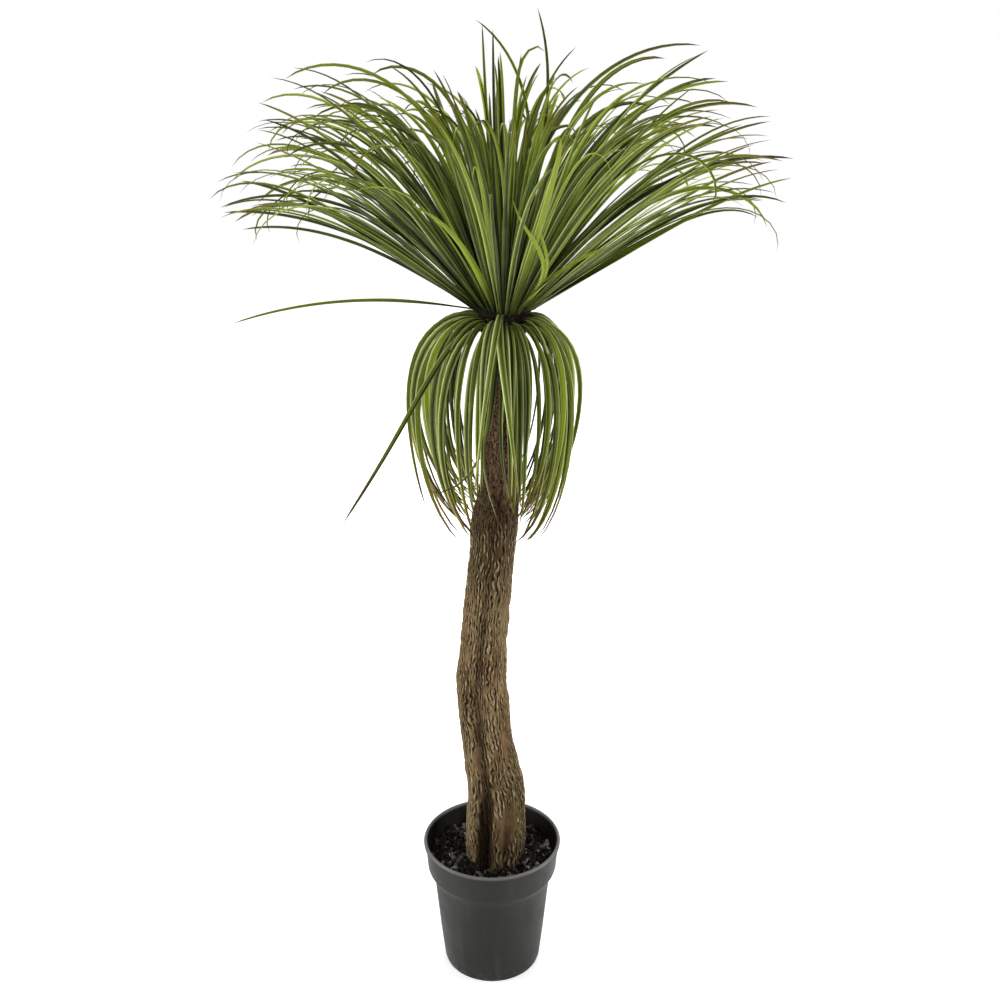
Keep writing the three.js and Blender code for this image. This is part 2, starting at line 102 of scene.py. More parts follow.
def pick(piece, kind, test):
    # selects the vertices, edges or faces that pass the test
    bpy.ops.mesh.select_mode(type=kind)
    bpy.ops.mesh.select_all(action="DESELECT")
    mesh = bmesh.from_edit_mesh(piece.data)
    for part in {"VERT": mesh.verts, "EDGE": mesh.edges, "FACE": mesh.faces}[kind]:
        if test(part):
            part.select_set(True)
    mesh.select_flush_mode()
    bmesh.update_edit_mesh(piece.data)


def raiseStack(name, plan, radius, height):
    # a thin slab whose upper cap is drawn on through the plan's outline; it is left in edit mode
    slab = plan["slab"]
    piece = startPiece(
        name, bpy.ops.mesh.primitive_cylinder_add, vertices=plan["sides"], radius=radius * millimetre,
        depth=slab * millimetre, end_fill_type="NGON", location=(0, 0, (height - slab / 2) * millimetre),
    )
    openEdit(piece)
    pick(piece, "FACE", lambda face: face.normal.z > 0.9)
    for newRadius, newHeight in plan["outline"]:
        rise = (0, 0, (newHeight - height) * millimetre)
        bpy.ops.mesh.extrude_region_move(TRANSFORM_OT_translate={"value": rise})
        share = newRadius / radius
        bpy.ops.transform.resize(value=(share, share, 1))
        radius, height = newRadius, newHeight
    return piece


def turnFacesOut(piece):
    openEdit(piece)
    selectWhole()
    bpy.ops.mesh.normals_make_consistent(inside=False)
    closeEdit()


def finishWith(piece, kind, **settings):
    makeActive(piece)
    modifier = piece.modifiers.new(kind.lower(), kind)
    for key, value in settings.items():
        setattr(modifier, key, value)
    bpy.ops.object.modifier_apply(modifier=modifier.name)


def smoothTo(piece, degrees):
    makeActive(piece)
    bpy.ops.object.shade_smooth_by_angle(angle=math.radians(degrees))


def readPoints(piece):
    points = np.zeros(len(piece.data.vertices) * 3)
    piece.data.vertices.foreach_get("co", points)
    return points.reshape(-1, 3)


def writePoints(piece, points):
    piece.data.vertices.foreach_set("co", np.asarray(points, float).ravel())
    piece.data.update()


def writeValue(piece, name, values):
    # a number for each vertex, which the piece's material reads
    attribute = piece.data.attributes.new(name, "FLOAT", "POINT")
    spread = np.broadcast_to(values, len(piece.data.vertices))
    attribute.data.foreach_set("value", spread.astype(np.float32))


def chordShare(turn, sides):
    # how far a flat-sided ring stands in from its true circle, at these angles
    corner = math.radians(360 / sides)
    return math.cos(corner / 2) / np.cos(np.mod(turn - math.pi / 2, corner) - corner / 2)


def copyOf(pattern):
    copy = pattern.copy()
    copy.data = pattern.data.copy()
    bpy.context.collection.objects.link(copy)
    return copy


def joinAll(parts, name):
    makeActive(parts[0])
    for part in parts:
        part.select_set(True)
    bpy.ops.object.join()
    whole = bpy.context.active_object
    whole.name = whole.data.name = name
    return whole


def putAway(pattern):
    bpy.data.objects.remove(pattern)


def dress(piece, material, slotName, *nodes):
    piece.data.materials.clear()
    piece.data.materials.append(material)
    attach(piece, "root")
    if nodes:
        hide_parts(*nodes)
    print("made", piece.name, "with", len(piece.data.polygons), "faces")


# Node helpers

def shade(code):
    # a linear colour from its usual six-figure code
    values = [int(code[at:at + 2], 16) / 255 for at in (0, 2, 4)]
    return tuple(v / 12.92 if v <= 0.04045 else ((v + 0.055) / 1.055) ** 2.4 for v in values) + (1.0,)


def give(tree, socket, value):
    # links what another node puts out, or sets a value
    if isinstance(value, bpy.types.NodeSocket):
        tree.links.new(value, socket)
    else:
        socket.default_value = value


def addNode(tree, kind, settings=None, **inputs):
    node = tree.nodes.new(kind)
    for key, value in (settings or {}).items():
        setattr(node, key, value)
    for key, value in inputs.items():
        give(tree, node.inputs[key.replace("_", " ")], value)
    return node


def addMath(tree, operation, *values):
    node = addNode(tree, "ShaderNodeMath", {"operation": operation})
    for socket, value in zip(node.inputs, values):
        give(tree, socket, value)
    return node.outputs[0]


def times(tree, first, second):
    return addMath(tree, "MULTIPLY", first, second)


def addRange(tree, value, low, high, toLow=0.0, toHigh=1.0):
    settings = {"interpolation_type": "SMOOTHSTEP"}
    node = addNode(tree, "ShaderNodeMapRange", settings, Value=value, From_Min=low, From_Max=high)
    node.inputs["To Min"].default_value, node.inputs["To Max"].default_value = toLow, toHigh
    return node.outputs[0]


def addRamp(tree, value, stops):
    node = addNode(tree, "ShaderNodeValToRGB", Fac=value)
    ramp = node.color_ramp
    while len(ramp.elements) < len(stops):
        ramp.elements.new(0.5)
    for element, (position, code) in zip(ramp.elements, stops):
        element.position, element.color = position, shade(code)
    return node.outputs[0]


def layColours(tree, colour, look, steps):
    # lays colours of a look one over the other, each as strong as its mask
    for mask, name in steps:
        node = addNode(tree, "ShaderNodeMix", {"data_type": "RGBA"})
        for at, value in ((0, mask), (6, colour), (7, shade(look[name]))):
            give(tree, node.inputs[at], value)
        colour = node.outputs[2]
    return colour


def addNoise(tree, vector, scale, detail=3.0, roughness=0.55, distortion=0.0):
    settings = {"Scale": scale, "Detail": detail, "Roughness": roughness, "Distortion": distortion}
    return addNode(tree, "ShaderNodeTexNoise", Vector=vector, **settings).outputs[0]


def addStretch(tree, vector, scale):
    return addNode(tree, "ShaderNodeMapping", Vector=vector, Scale=scale).outputs[0]


def objectPlace(tree):
    return addNode(tree, "ShaderNodeTexCoord").outputs["Object"]


def readValue(tree, name):
    return addNode(tree, "ShaderNodeAttribute", {"attribute_name": name}).outputs["Fac"]


def startGroup(name, inputs, outputs):
    group = bpy.data.node_groups.new(name, "ShaderNodeTree")
    for label, kind, value in inputs:
        socket = group.interface.new_socket(name=label, in_out="INPUT", socket_type=kind)
        if value is not None:
            socket.default_value = value
    for label in outputs:
        group.interface.new_socket(name=label, in_out="OUTPUT", socket_type="NodeSocketFloat")
    return group, group.nodes.new("NodeGroupInput"), group.nodes.new("NodeGroupOutput")


def placeGroup(tree, group, **inputs):
    return addNode(tree, "ShaderNodeGroup", {"node_tree": group}, **inputs)


def startMaterial(name):
    material = bpy.data.materials.new(name)
    material.use_nodes = True
    tree = material.node_tree
    return material, tree, tree.nodes["Principled BSDF"]


def finishMaterial(tree, shader, look, colour, roughness, relief):
    strength, depth = look["relief"]
    bump = addNode(tree, "ShaderNodeBump", Strength=strength, Distance=depth, Height=relief).outputs[0]
    give(tree, shader.inputs["Base Color"], colour)
    give(tree, shader.inputs["Roughness"], roughness)
    shader.inputs["Specular IOR Level"].default_value = look["specular"]
    give(tree, shader.inputs["Normal"], bump)


# Effects that several materials share

def makeMottleGroup():
    # patches of lighter and darker tone, and specks nine times finer
    group, entry, leave = startGroup(
        "mottle",
        [("Vector", "NodeSocketVector", None), ("Size", "NodeSocketFloat", 20.0)],
        ["Patches", "Specks"],
    )
    vector, size = entry.outputs["Vector"], entry.outputs["Size"]
    patches = addNoise(group, vector, size, 4.0, 0.6)
    specks = addNoise(group, vector, times(group, size, 9.0), 2.0, 0.7)
    give(group, leave.inputs["Patches"], addRange(group, patches, 0.35, 0.65))
    give(group, leave.inputs["Specks"], addRange(group, specks, 0.52, 0.68))
    return group


def makeBladeGroup():
    # masks for pale edge bands (partly a painted highlight), for the half beyond the fold (painted shade on
    # one side, painted highlight on the other), and the fine veins and slow streaks along a leaf
    group, entry, leave = startGroup(
        "bladeMarks",
        [
            ("Map", "NodeSocketVector", None),
            ("Margin", "NodeSocketFloat", 0.62),
            ("Veins", "NodeSocketFloat", 16.0),
        ],
        ["Margin", "Half", "Veins", "Streaks"],
    )
    split = addNode(group, "ShaderNodeSeparateXYZ", Vector=entry.outputs["Map"])
    x, y, z = [split.outputs[axis] for axis in "XYZ"]
    across = addMath(group, "ABSOLUTE", addMath(group, "MULTIPLY_ADD", x, 2.0, -1.0))
    give(group, leave.inputs["Margin"], addRange(group, across, entry.outputs["Margin"], 1.0))
    give(group, leave.inputs["Half"], addRange(group, x, 0.47, 0.53))
    lines = addNode(group, "ShaderNodeCombineXYZ", X=times(group, x, entry.outputs["Veins"]), Y=y, Z=z)
    give(group, leave.inputs["Veins"], addNoise(group, lines.outputs[0], 1.6, 2.0, 0.5))
    slower = addNoise(group, addStretch(group, entry.outputs["Map"], (2.5, 3.0, 9.0)), 1.5, 3.0, 0.6)
    give(group, leave.inputs["Streaks"], addRange(group, slower, 0.42, 0.7))
    return group


mottleGroup = makeMottleGroup()
bladeGroup = makeBladeGroup()
print("shared effects made")


# Camera and studio

studio = {
    "cameraAt": (0.0105, -1.37, 1.137),
    "cameraTilt": 19.5,  # degrees down
    "lens": 44.03,
    "sensor": 36,
    "floorSide": 14.0,
    "floorColour": "f7f7f6",
    "glow": (0.42, 1.0),  # how white the floor is of itself, to the eye alone, by the pot and far off
    "glowReach": (0.16, 1.2),
    "skyForEye": 1.0,
    "skyForLight": 0.2,
    "lampsFace": (0, 0, 0.75),
    # name, place, power, width, height
    "lamps": [
        ("keyLamp", (-1.1, -2.3, 2.3), 27, 1.3, 1.3), ("fillLamp", (1.4, -2.1, 1.9), 16.2, 1.2, 1.4),
        ("leftLamp", (-2.3, -0.3, 1.0), 34, 0.9, 1.9), ("rightLamp", (2.3, -0.3, 1.0), 34, 0.9, 1.9),
        ("topLamp", (0, 0.4, 3.0), 30, 1.6, 1.6), ("backLamp", (0.3, 2.6, 1.8), 30, 1.4, 1.4),
    ],
}


def makeCamera():
    deselectAll()
    tilt = math.radians(90 - studio["cameraTilt"])
    bpy.ops.object.camera_add(location=studio["cameraAt"], rotation=(tilt, 0, 0))
    camera = bpy.context.active_object
    camera.name = "camera"
    camera.data.lens = studio["lens"]
    camera.data.sensor_width = studio["sensor"]
    bpy.context.scene.camera = camera


def makeLamp(name, place, power, width, height):
    turn = (Vector(studio["lampsFace"]) - Vector(place)).to_track_quat("-Z", "Y").to_euler()
    bpy.ops.object.light_add(type="AREA", location=place, rotation=turn)
    lamp = bpy.context.active_object
    lamp.name = name
    lamp.data.shape = "RECTANGLE"
    lamp.data.size, lamp.data.size_y = width, height
    lamp.data.energy = power
    lamp.visible_camera = False


def makeFloor():
    floor = startPiece("studioFloor", bpy.ops.mesh.primitive_plane_add, size=studio["floorSide"])
    material, tree, shader = startMaterial("studioWhite")
    white = {
        "Base Color": shade(studio["floorColour"]), "Roughness": 0.9, "Specular IOR Level": 0.1,
        "Emission Color": (1, 1, 1, 1),
    }
    for name, value in white.items():
        shader.inputs[name].default_value = value
    away = addNode(tree, "ShaderNodeVectorMath", {"operation": "LENGTH"})
    give(tree, away.inputs[0], objectPlace(tree))
    glow = addRange(tree, away.outputs["Value"], *studio["glowReach"], *studio["glow"])
    eye = addNode(tree, "ShaderNodeLightPath").outputs["Is Camera Ray"]
    give(tree, shader.inputs["Emission Strength"], times(tree, glow, eye))
    floor.data.materials.append(material)


def makeSky():
    world = bpy.data.worlds.new("studioSky")
    bpy.context.scene.world = world
    world.use_nodes = True
    tree = world.node_tree
    sky = tree.nodes["Background"]
    sky.inputs["Color"].default_value = (1, 1, 1, 1)
    eye = addNode(tree, "ShaderNodeLightPath").outputs["Is Camera Ray"]
    bright = addRange(tree, eye, 0.0, 1.0, studio["skyForLight"], studio["skyForEye"])
    give(tree, sky.inputs["Strength"], bright)


makeCamera()
makeFloor()
makeSky()
for lampPlan in studio["lamps"]:
    makeLamp(*lampPlan)
bpy.context.scene.view_settings.view_transform = "Standard"
print("studio ready")


# Pot

pot = {
    "sides": 128,
    "baseRadius": 60,
    "slab": 0.2,  # thickness of the disc that the wall is drawn up from
    "ringInside": 56,  # the base stands on the surface from here out
    "discRadius": 30,  # and in the middle out to here
    "recess": 1.8,
    "recessSlope": 2,
    # up the outside from the foot to the lip, and down the inside to the floor: radius, height
    "outline": [
        (62.4, 1.4), (63.8, 6), (68.7, 50), (72.9, 94), (75.9, 126), (77.4, 131), (81.4, 137.4),
        (83.4, 140.6), (84.5, 144), (87.0, 175.4), (89.2, 176.6), (89.6, 179.6), (88.6, 181.6), (87, 182),
        (85.6, 181.2), (84.9, 179), (84.7, 176), (82.4, 149), (81.2, 142), (75.8, 133), (73.7, 126),
        (61.6, 6.4), (60.0, 4.8),
    ],
    "edgeRound": 0.9,
    "edgeSteps": 3,
    "edgeOver": 14,  # degrees; flatter edges aren't rounded
    "drains": 8,
    "drainRadius": 5,
    "drainRing": 44,
    "drainSides": 32,
    "cutterLong": 30,
    "smoothUnder": 32,
}


def modelPot():
    shell = raiseStack("potShell", pot, pot["baseRadius"], pot["slab"])
    # the underside: an outer ring to stand on, a raised ring, and a flat middle
    pick(shell, "FACE", lambda face: face.normal.z < -0.9 and face.calc_center_median().z < 1e-5)
    slope = pot["recessSlope"]
    insets = [
        (pot["baseRadius"] - pot["ringInside"], 0),
        (slope, -pot["recess"]),
        (pot["ringInside"] - pot["discRadius"] - 2 * slope, 0),
        (slope, pot["recess"]),
    ]
    for thickness, depth in insets:
        bpy.ops.mesh.inset(thickness=thickness * millimetre, depth=depth * millimetre)
    closeEdit()
    finishWith(
        shell, "BEVEL", width=pot["edgeRound"] * millimetre, segments=pot["edgeSteps"], limit_method="ANGLE",
        angle_limit=math.radians(pot["edgeOver"]), harden_normals=False,
    )
    cutters = []
    for hole in range(pot["drains"]):
        turn = 2 * math.pi * (hole + 0.5) / pot["drains"]
        reach = pot["drainRing"] * millimetre
        cutters.append(startPiece(
            "drainCutter", bpy.ops.mesh.primitive_cylinder_add, vertices=pot["drainSides"],
            radius=pot["drainRadius"] * millimetre, depth=pot["cutterLong"] * millimetre,
            location=(reach * math.cos(turn), reach * math.sin(turn), 0),
        ))
    cutter = joinAll(cutters, "drainCutters")
    finishWith(shell, "BOOLEAN", operation="DIFFERENCE", object=cutter, solver="EXACT")
    putAway(cutter)
    smoothTo(shell, pot["smoothUnder"])
    return shell


potLook = {
    "wall": "181713",
    "cloud": "1e1d18",
    "cloudSize": 22.0,
    # the lip's pale band: a painted highlight on the rolled lip, with some wear
    "lip": "767773",
    "lipHeights": (0.1775, 0.1812),
    "lipShare": 0.7,
    "scuff": "63645f",
    "flowSize": (60, 60, 2.2),  # faint upright flow marks
    "flowShare": 0.12,
    "dustUnder": 0.03,
    "dustShare": 0.35,
    "roughness": (0.4, 0.5),
    "specular": 0.37,
    "grainSize": 900.0,
    "relief": (0.16, 0.0004),  # strength and depth of the bump
}


def makePotPlastic():
    material, tree, shader = startMaterial("potPlastic")
    place = objectPlace(tree)
    mottle = placeGroup(tree, mottleGroup, Vector=place, Size=potLook["cloudSize"])
    height = addNode(tree, "ShaderNodeSeparateXYZ", Vector=place).outputs["Z"]
    flow = addNoise(tree, addStretch(tree, place, potLook["flowSize"]), 1.0)
    # a pale band round the top of the lip: painted highlight, with some wear
    lipWearAndHighlight = times(tree, addRange(tree, height, *potLook["lipHeights"]), potLook["lipShare"])
    dusty = addRange(tree, height, potLook["dustUnder"], 0.0, 0.0, potLook["dustShare"])
    colour = layColours(tree, shade(potLook["wall"]), potLook, [
        (mottle.outputs["Patches"], "cloud"),
        (addRange(tree, flow, 0.5, 0.75, 0.0, potLook["flowShare"]), "scuff"),
        (lipWearAndHighlight, "lip"),
        (times(tree, dusty, mottle.outputs["Specks"]), "scuff"),
    ])
    polish = addRange(tree, mottle.outputs["Patches"], 0.0, 1.0, *potLook["roughness"])
    grain = addNoise(tree, place, potLook["grainSize"], 2.0, 0.6)
    finishMaterial(tree, shader, potLook, colour, polish, grain)
    return material


dress(modelPot(), makePotPlastic(), "pot_plastic", "pot")


# Trunk

trunk = {
    # height, centre x, centre y, radius
    "stations": [
        (60, 4, 0, 33), (148, 4.6, 0, 38), (200, 5.4, 2, 38.5), (253, 5.2, 4, 36.8), (327, -5.8, 7, 32.6),
        (378, -11, 9, 33.2), (404, -13, 9, 32.4), (464, -9.9, 7, 29.4), (507, -6.5, 4, 29.2),
        (547, -2.2, 1, 28.6), (597, 2, -1, 28.4), (622, 4, -2, 28.8), (672, 9.3, -4, 23.6),
        (723, 11.3, -5, 21.2), (798, 12.8, -4, 20.8), (852, 13.6, -3, 22), (868, 14, -3, 25),
        (876, 14, -3, 28),
    ],
    # degrees round at the foot, turn to the top, depth, half width
    "grooves": [(243, 40, 6.2, 16), (330, 25, 3.2, 18), (52, 40, 4.6, 20), (150, 30, 3.8, 18)],
    "grooveLoss": 0.75,  # share of their depth lost on the way to the top
    # and those that part the foot into lobes: degrees round, depth, half width
    "footGrooves": [(241, 12, 14), (290, 4, 8), (128, 6, 10), (20, 4, 9)],
    "footHeights": (185, 268),  # they fade between these
    "buriedHeights": (40, 100),  # over the bottom of the foot, where all grooves come in
    "deepGroove": 8,  # a groove this deep gets the darkest painted shade
    "sides": 60,
    "rings": 97,
    "finer": 2,
    "buriedShare": 0.016,  # of the rings, below the start of the bark
    "barkStart": 140,
    "smoothUnder": 60,
}
bark = {
    "ridges": 50,  # round the trunk
    "ridgeHigh": 2.1,
    "sharp": 0.8,
    # how far a ridge strays sideways, in ridges, over a patch this wide and this high
    "stray": [(1.15, 16, 38), (0.6, 5, 8)],
    "breakSize": (3.6, 9),  # ridges come and go in patches this wide and high
    "breakFrom": (-0.36, 0.16),
    "slowSize": (21, 60),
    "smoothFrom": (0.3, 0.5),  # where the bark's slow pattern passes these it is smooth
    "swell": 1.7,
    "swellSize": (15, 44),
    "grain": 0.3,
    "grainSize": 1.7,
    "poreSize": (2.6, 3.12),  # near the crown
    "poreHigh": 1.5,
    "poreStart": (590, 660),
}


def alongTrunk(height, column):
    # a value between stations, on a smooth curve through them
    stations = np.array(trunk["stations"], float)
    heights, values = stations[:, 0], stations[:, column]
    last = len(stations) - 1
    span = np.clip(np.searchsorted(heights, height, side="left") - 1, 0, last - 1)
    before, after = np.maximum(np.arange(last + 1) - 1, 0), np.minimum(np.arange(last + 1) + 1, last)
    slope = (values[after] - values[before]) / (heights[after] - heights[before])
    run = heights[span + 1] - heights[span]
    t = (height - heights[span]) / run
    return (
        values[span] * (2 * t**3 - 3 * t**2 + 1)
        + slope[span] * run * (t**3 - 2 * t**2 + t)
        + values[span + 1] * (3 * t**2 - 2 * t**3)
        + slope[span + 1] * run * (t**3 - t**2)
    )


def trough(turn, middle, halfWidth):
    off = turn - middle
    wrapped = np.arctan2(np.sin(off), np.cos(off))
    return np.exp(-((wrapped / np.radians(halfWidth)) ** 2))


def grooveDepth(turn, height):
    foot, crownHeight = trunk["stations"][0][0], trunk["stations"][-1][0]
    share = (height - foot) / (crownHeight - foot)
    low, high = trunk["buriedHeights"]
    buried = np.clip((height - foot - low) / (high - low), 0, 1)
    depth = np.zeros_like(turn)
    for at, twist, deep, halfWidth in trunk["grooves"]:
        fade = buried * (1 - trunk["grooveLoss"] * share)
        depth += deep * fade * trough(turn, np.radians(at + twist * share), halfWidth)
    low, high = trunk["footHeights"]
    fade = buried * (1 - np.clip((height - low) / (high - low), 0, 1))
    for at, deep, halfWidth in trunk["footGrooves"]:
        depth += deep * fade * trough(turn, np.radians(at), halfWidth)
    return depth


def eased(value, low, high):
    share = min(max((value - low) / (high - low), 0), 1)
    return share * share * (3 - 2 * share)


def noiseAt(place, wide, high, shift=0.0):
    return noise.noise(Vector((place.x / wide + shift, place.y / wide, place.z / high)))


def barkAt(turn, height, radius):
    # how far the bark stands out at a point, how deep in a fissure it lies and how much of a crest it is
    place = Vector((radius * math.cos(turn), radius * math.sin(turn), height))
    pored = eased(height, *bark["poreStart"])
    smooth = eased(noiseAt(place, *bark["slowSize"], 3.1), *bark["smoothFrom"])
    rough = (1 - 0.9 * smooth) * eased(noiseAt(place, *bark["breakSize"]), *bark["breakFrom"])
    stray = sum(far * noiseAt(place, wide, high, far) for far, wide, high in bark["stray"])
    wave = 0.5 + 0.5 * math.sin(bark["ridges"] * turn + 2 * math.pi * stray)
    ridge = wave ** bark["sharp"]
    pore = min(abs(noiseAt(place, *bark["poreSize"])) / 0.3, 1)
    wide, high = bark["swellSize"]
    swell = noise.fractal(Vector((place.x / wide, place.y / wide, place.z / high)), 1.0, 2.1, 3)
    rough *= 1 - 0.6 * pored
    stand = bark["swell"] * swell + bark["grain"] * noise.noise(place / bark["grainSize"])
    stand += rough * bark["ridgeHigh"] * (ridge - 0.5) + bark["poreHigh"] * pored * pore
    fissure = rough * (1 - ridge) ** 1.6 + 0.5 * pored * (1 - pore)
    return stand, min(fissure, 1), rough * ridge**3


def modelTrunk():
    stem = startPiece(
        "trunkBark", bpy.ops.mesh.primitive_cylinder_add, vertices=trunk["sides"], radius=1, depth=1,
        end_fill_type="NGON", location=(0, 0, 0.5),
    )
    openEdit(stem)
    pick(stem, "EDGE", lambda edge: abs(edge.verts[0].co.z - edge.verts[1].co.z) > 0.5)
    bpy.ops.mesh.subdivide(number_cuts=trunk["rings"] - 1)
    closeEdit()
    finer = trunk["finer"]
    finishWith(stem, "SUBSURF", subdivision_type="SIMPLE", levels=finer, render_levels=finer)
    unit = readPoints(stem)
    turn = np.arctan2(unit[:, 1], unit[:, 0])
    share = np.minimum(np.hypot(unit[:, 0], unit[:, 1]) / chordShare(turn, trunk["sides"]), 1)
    foot, crownHeight = trunk["stations"][0][0], trunk["stations"][-1][0]
    buried, start = trunk["buriedShare"], trunk["barkStart"]
    height = np.where(
        unit[:, 2] < buried,
        foot + (start - foot) * unit[:, 2] / buried,
        start + (crownHeight - start) * (unit[:, 2] - buried) / (1 - buried),
    )
    plain = alongTrunk(height, 3)
    stand, fissure, crest = np.transpose([barkAt(*at) for at in zip(turn, height, plain)])
    stand -= stand[height > start].mean()
    groove = grooveDepth(turn, height)
    radius = (plain - groove + np.where(height > start - 4, stand, 0)) * share
    centre = alongTrunk(height, 1), alongTrunk(height, 2)
    ring = [centre[0] + radius * np.cos(turn), centre[1] + radius * np.sin(turn), height]
    writePoints(stem, np.stack(ring, axis=1) * millimetre)
    writeValue(stem, "fissure", fissure)
    writeValue(stem, "groove", groove / trunk["deepGroove"])
    writeValue(stem, "crest", crest)
    smoothTo(stem, trunk["smoothUnder"])
    return stem


barkLook = {
    "plate": "89724f",
    "palePlate": "a08763",
    "rust": "735538",
    "moss": "625f38",
    "crest": "c9b68f",
    "low": "3f2e1b",
    "fissure": "190e05",
    # near-black brown: painted shade in the deep grooves; also the trunk's darkening up under the crown
    "groove": "1e1007",
    "neck": "987861",
    # heights in metres between which a colour comes in or goes
    "neckFrom": (0.61, 0.68),
    "crownFrom": (0.84, 0.862),
    # a darker band at the skirt's lower edge: painted shade
    "underSkirtShadeFrom": (0.5, 0.58),
    "underSkirtShadeTo": (0.68, 0.63),
    "footShade": (0.36, 0.2),
    "footDark": (0.33, 0.16),
    # the foot's dark right and pale left: from x to x, and from height to height
    "footRight": ((-0.012, 0.024), (0.29, 0.17)),
    "footLeft": ((-0.014, -0.026), (0.34, 0.24)),
    "fibreSize": 700.0,
    "crackSize": 520.0,
    "roughness": 0.85,
    "specular": 0.1,
    "relief": (0.8, 0.0014),
}


def makeBark():
    material, tree, shader = startMaterial("trunkBark")
    place = objectPlace(tree)
    split = addNode(tree, "ShaderNodeSeparateXYZ", Vector=place)
    across, height = split.outputs["X"], split.outputs["Z"]

    def slowly(upright, size):
        return addNoise(tree, addStretch(tree, place, (1, 1, upright)), size)

    def atHeights(name, low=0.0, high=1.0):
        return addRange(tree, height, *barkLook[name], low, high)

    def atFoot(name, strength):
        (first, last), (top, bottom) = barkLook[name]
        side = times(tree, addRange(tree, across, first, last), addRange(tree, height, top, bottom))
        return times(tree, side, strength)

    mottle = placeGroup(tree, mottleGroup, Vector=place, Size=30.0)
    drawnOut = addStretch(tree, place, (1, 1, 0.15))
    fibres = addNoise(tree, drawnOut, barkLook["fibreSize"], 3.0, 0.65, 0.3)
    # wavy upright cracks where a stretched pattern crosses its middle
    crossing = addMath(tree, "SUBTRACT", addNoise(tree, drawnOut, barkLook["crackSize"], 1.0, 0.4, 0.6), 0.5)
    cracks = addMath(tree, "ABSOLUTE", crossing)
    shadow = slowly(0.3, 26.0)
    finePatches = addNoise(tree, addStretch(tree, place, (1, 1, 0.5)), 460.0, 2.0)
    broken = addRange(tree, finePatches, 0.36, 0.6, 0.35, 1.0)
    crest, fissure, groove = [readValue(tree, name) for name in ("crest", "fissure", "groove")]
    colour = layColours(tree, shade(barkLook["plate"]), barkLook, [
        (addRange(tree, slowly(0.35, 44.0), 0.46, 0.62), "rust"),
        (addRange(tree, slowly(0.35, 27.0), 0.5, 0.66, 0.0, 0.6), "moss"),
        (times(tree, mottle.outputs["Patches"], 0.5), "palePlate"),
        (atHeights("neckFrom", 0.0, 0.85), "neck"),
        (times(tree, atHeights("footShade"), addRange(tree, shadow, 0.38, 0.6)), "low"),
        (addRange(tree, shadow, 0.52, 0.66, 0.0, 0.6), "low"),
        (addRange(tree, fibres, 0.52, 0.7, 0.0, 0.45), "low"),
        (atHeights("footDark", 0.0, 0.35), "low"),
        (atFoot("footRight", 0.55), "low"),
        (atFoot("footLeft", 0.7), "palePlate"),
        # painted shade: a darker band on the trunk at the lower edge of the hanging skirt
        (times(tree, atHeights("underSkirtShadeFrom"), atHeights("underSkirtShadeTo", 0.0, 0.62)), "low"),
        (times(tree, addRange(tree, crest, 0.1, 0.8, 0.0, 0.7), broken), "crest"),
        (addRange(tree, cracks, 0.0, 0.06, 0.5, 0.0), "low"),
        # painted shade: the deep grooves darkened toward near-black
        (addRange(tree, groove, 0.1, 0.85, 0.0, 0.9), "groove"),
        (times(tree, addRange(tree, fissure, 0.03, 0.55), broken), "fissure"),
        (atHeights("crownFrom", 0.0, 0.92), "groove"),
    ])
    relief = addMath(tree, "ADD", addRange(tree, cracks, 0.0, 0.12), times(tree, fibres, 0.6))
    finishMaterial(tree, shader, barkLook, colour, barkLook["roughness"], relief)
    return material


dress(modelTrunk(), makeBark(), "trunk_bark", "trunk")


# Bark mix: a lumpy bed with crumbs and curly chips of bark on it

mix = {
    "level": 153,
    "radius": 81.6,
    "bedSides": 24,
    "bedCuts": 21,
    "bedDeep": 10,
    "bedTaper": 0.985,
    "relief": 2.2,
    "lumps": 2.4,
    "lumpSize": 7,
    "crumbs": 1300,
    "crumbSize": (0.9, 3.0),
    "crumbRing": (37, 79),  # distances from the trunk's middle and from the pot's
    "chips": 520,
    "chipLong": (9, 26),
    "chipWide": (3, 7),
    "chipThick": 0.16,
    "chipCurl": (40, 230),  # degrees
    "chipRing": (39, 76),
    "chipTip": (90, 70),  # degrees that they lie askew by
    "chipLift": 1.6,
    "seed": 41,
}


def mixTop(x, y):
    # the solid's slow waves, with lumps of bark
    waves = math.sin(x / 9 + 1.3) * math.cos(y / 8 - 0.4) + 0.5 * math.sin((x + y) / 5)
    near = noise.voronoi(Vector((x, y, 0)) / mix["lumpSize"])[0]
    lumps = mix["lumps"] * (0.45 - near[0]) + 0.8 * noise.noise(Vector((x, y, 5)) / 2.6)
    return mix["level"] + mix["relief"] * waves * 0.7 + lumps


def modelBed():
    bed = startPiece(
        "mixBed", bpy.ops.mesh.primitive_circle_add, vertices=mix["bedSides"], radius=mix["radius"],
        fill_type="TRIFAN",
    )
    openEdit(bed)
    selectWhole()
    bpy.ops.mesh.subdivide(number_cuts=mix["bedCuts"])
    selectWhole()
    bpy.ops.mesh.extrude_region_move(TRANSFORM_OT_translate={"value": (0, 0, 1)})
    closeEdit()
    points = readPoints(bed)
    points[:, :2] /= chordShare(np.arctan2(points[:, 1], points[:, 0]), mix["bedSides"])[:, None]
    top = points[:, 2] > 0.5
    bottom = mix["level"] - mix["bedDeep"]
    points[:, 2] = [mixTop(x, y) if high else bottom for (x, y, _), high in zip(points, top)]
    points[~top, :2] *= mix["bedTaper"]
    writePoints(bed, points * millimetre)
    turnFacesOut(bed)
    writeValue(bed, "tone", 0.3)
    smoothTo(bed, 50)
    return bed


def modelCrumb():
    crumb = startPiece("crumbPattern", bpy.ops.mesh.primitive_ico_sphere_add, subdivisions=2, radius=1)
    openEdit(crumb)
    selectWhole()
    bpy.ops.transform.resize(value=(1.25, 0.95, 0.72))
    bpy.ops.transform.vertex_random(offset=0.2, seed=3)
    closeEdit()
    return crumb


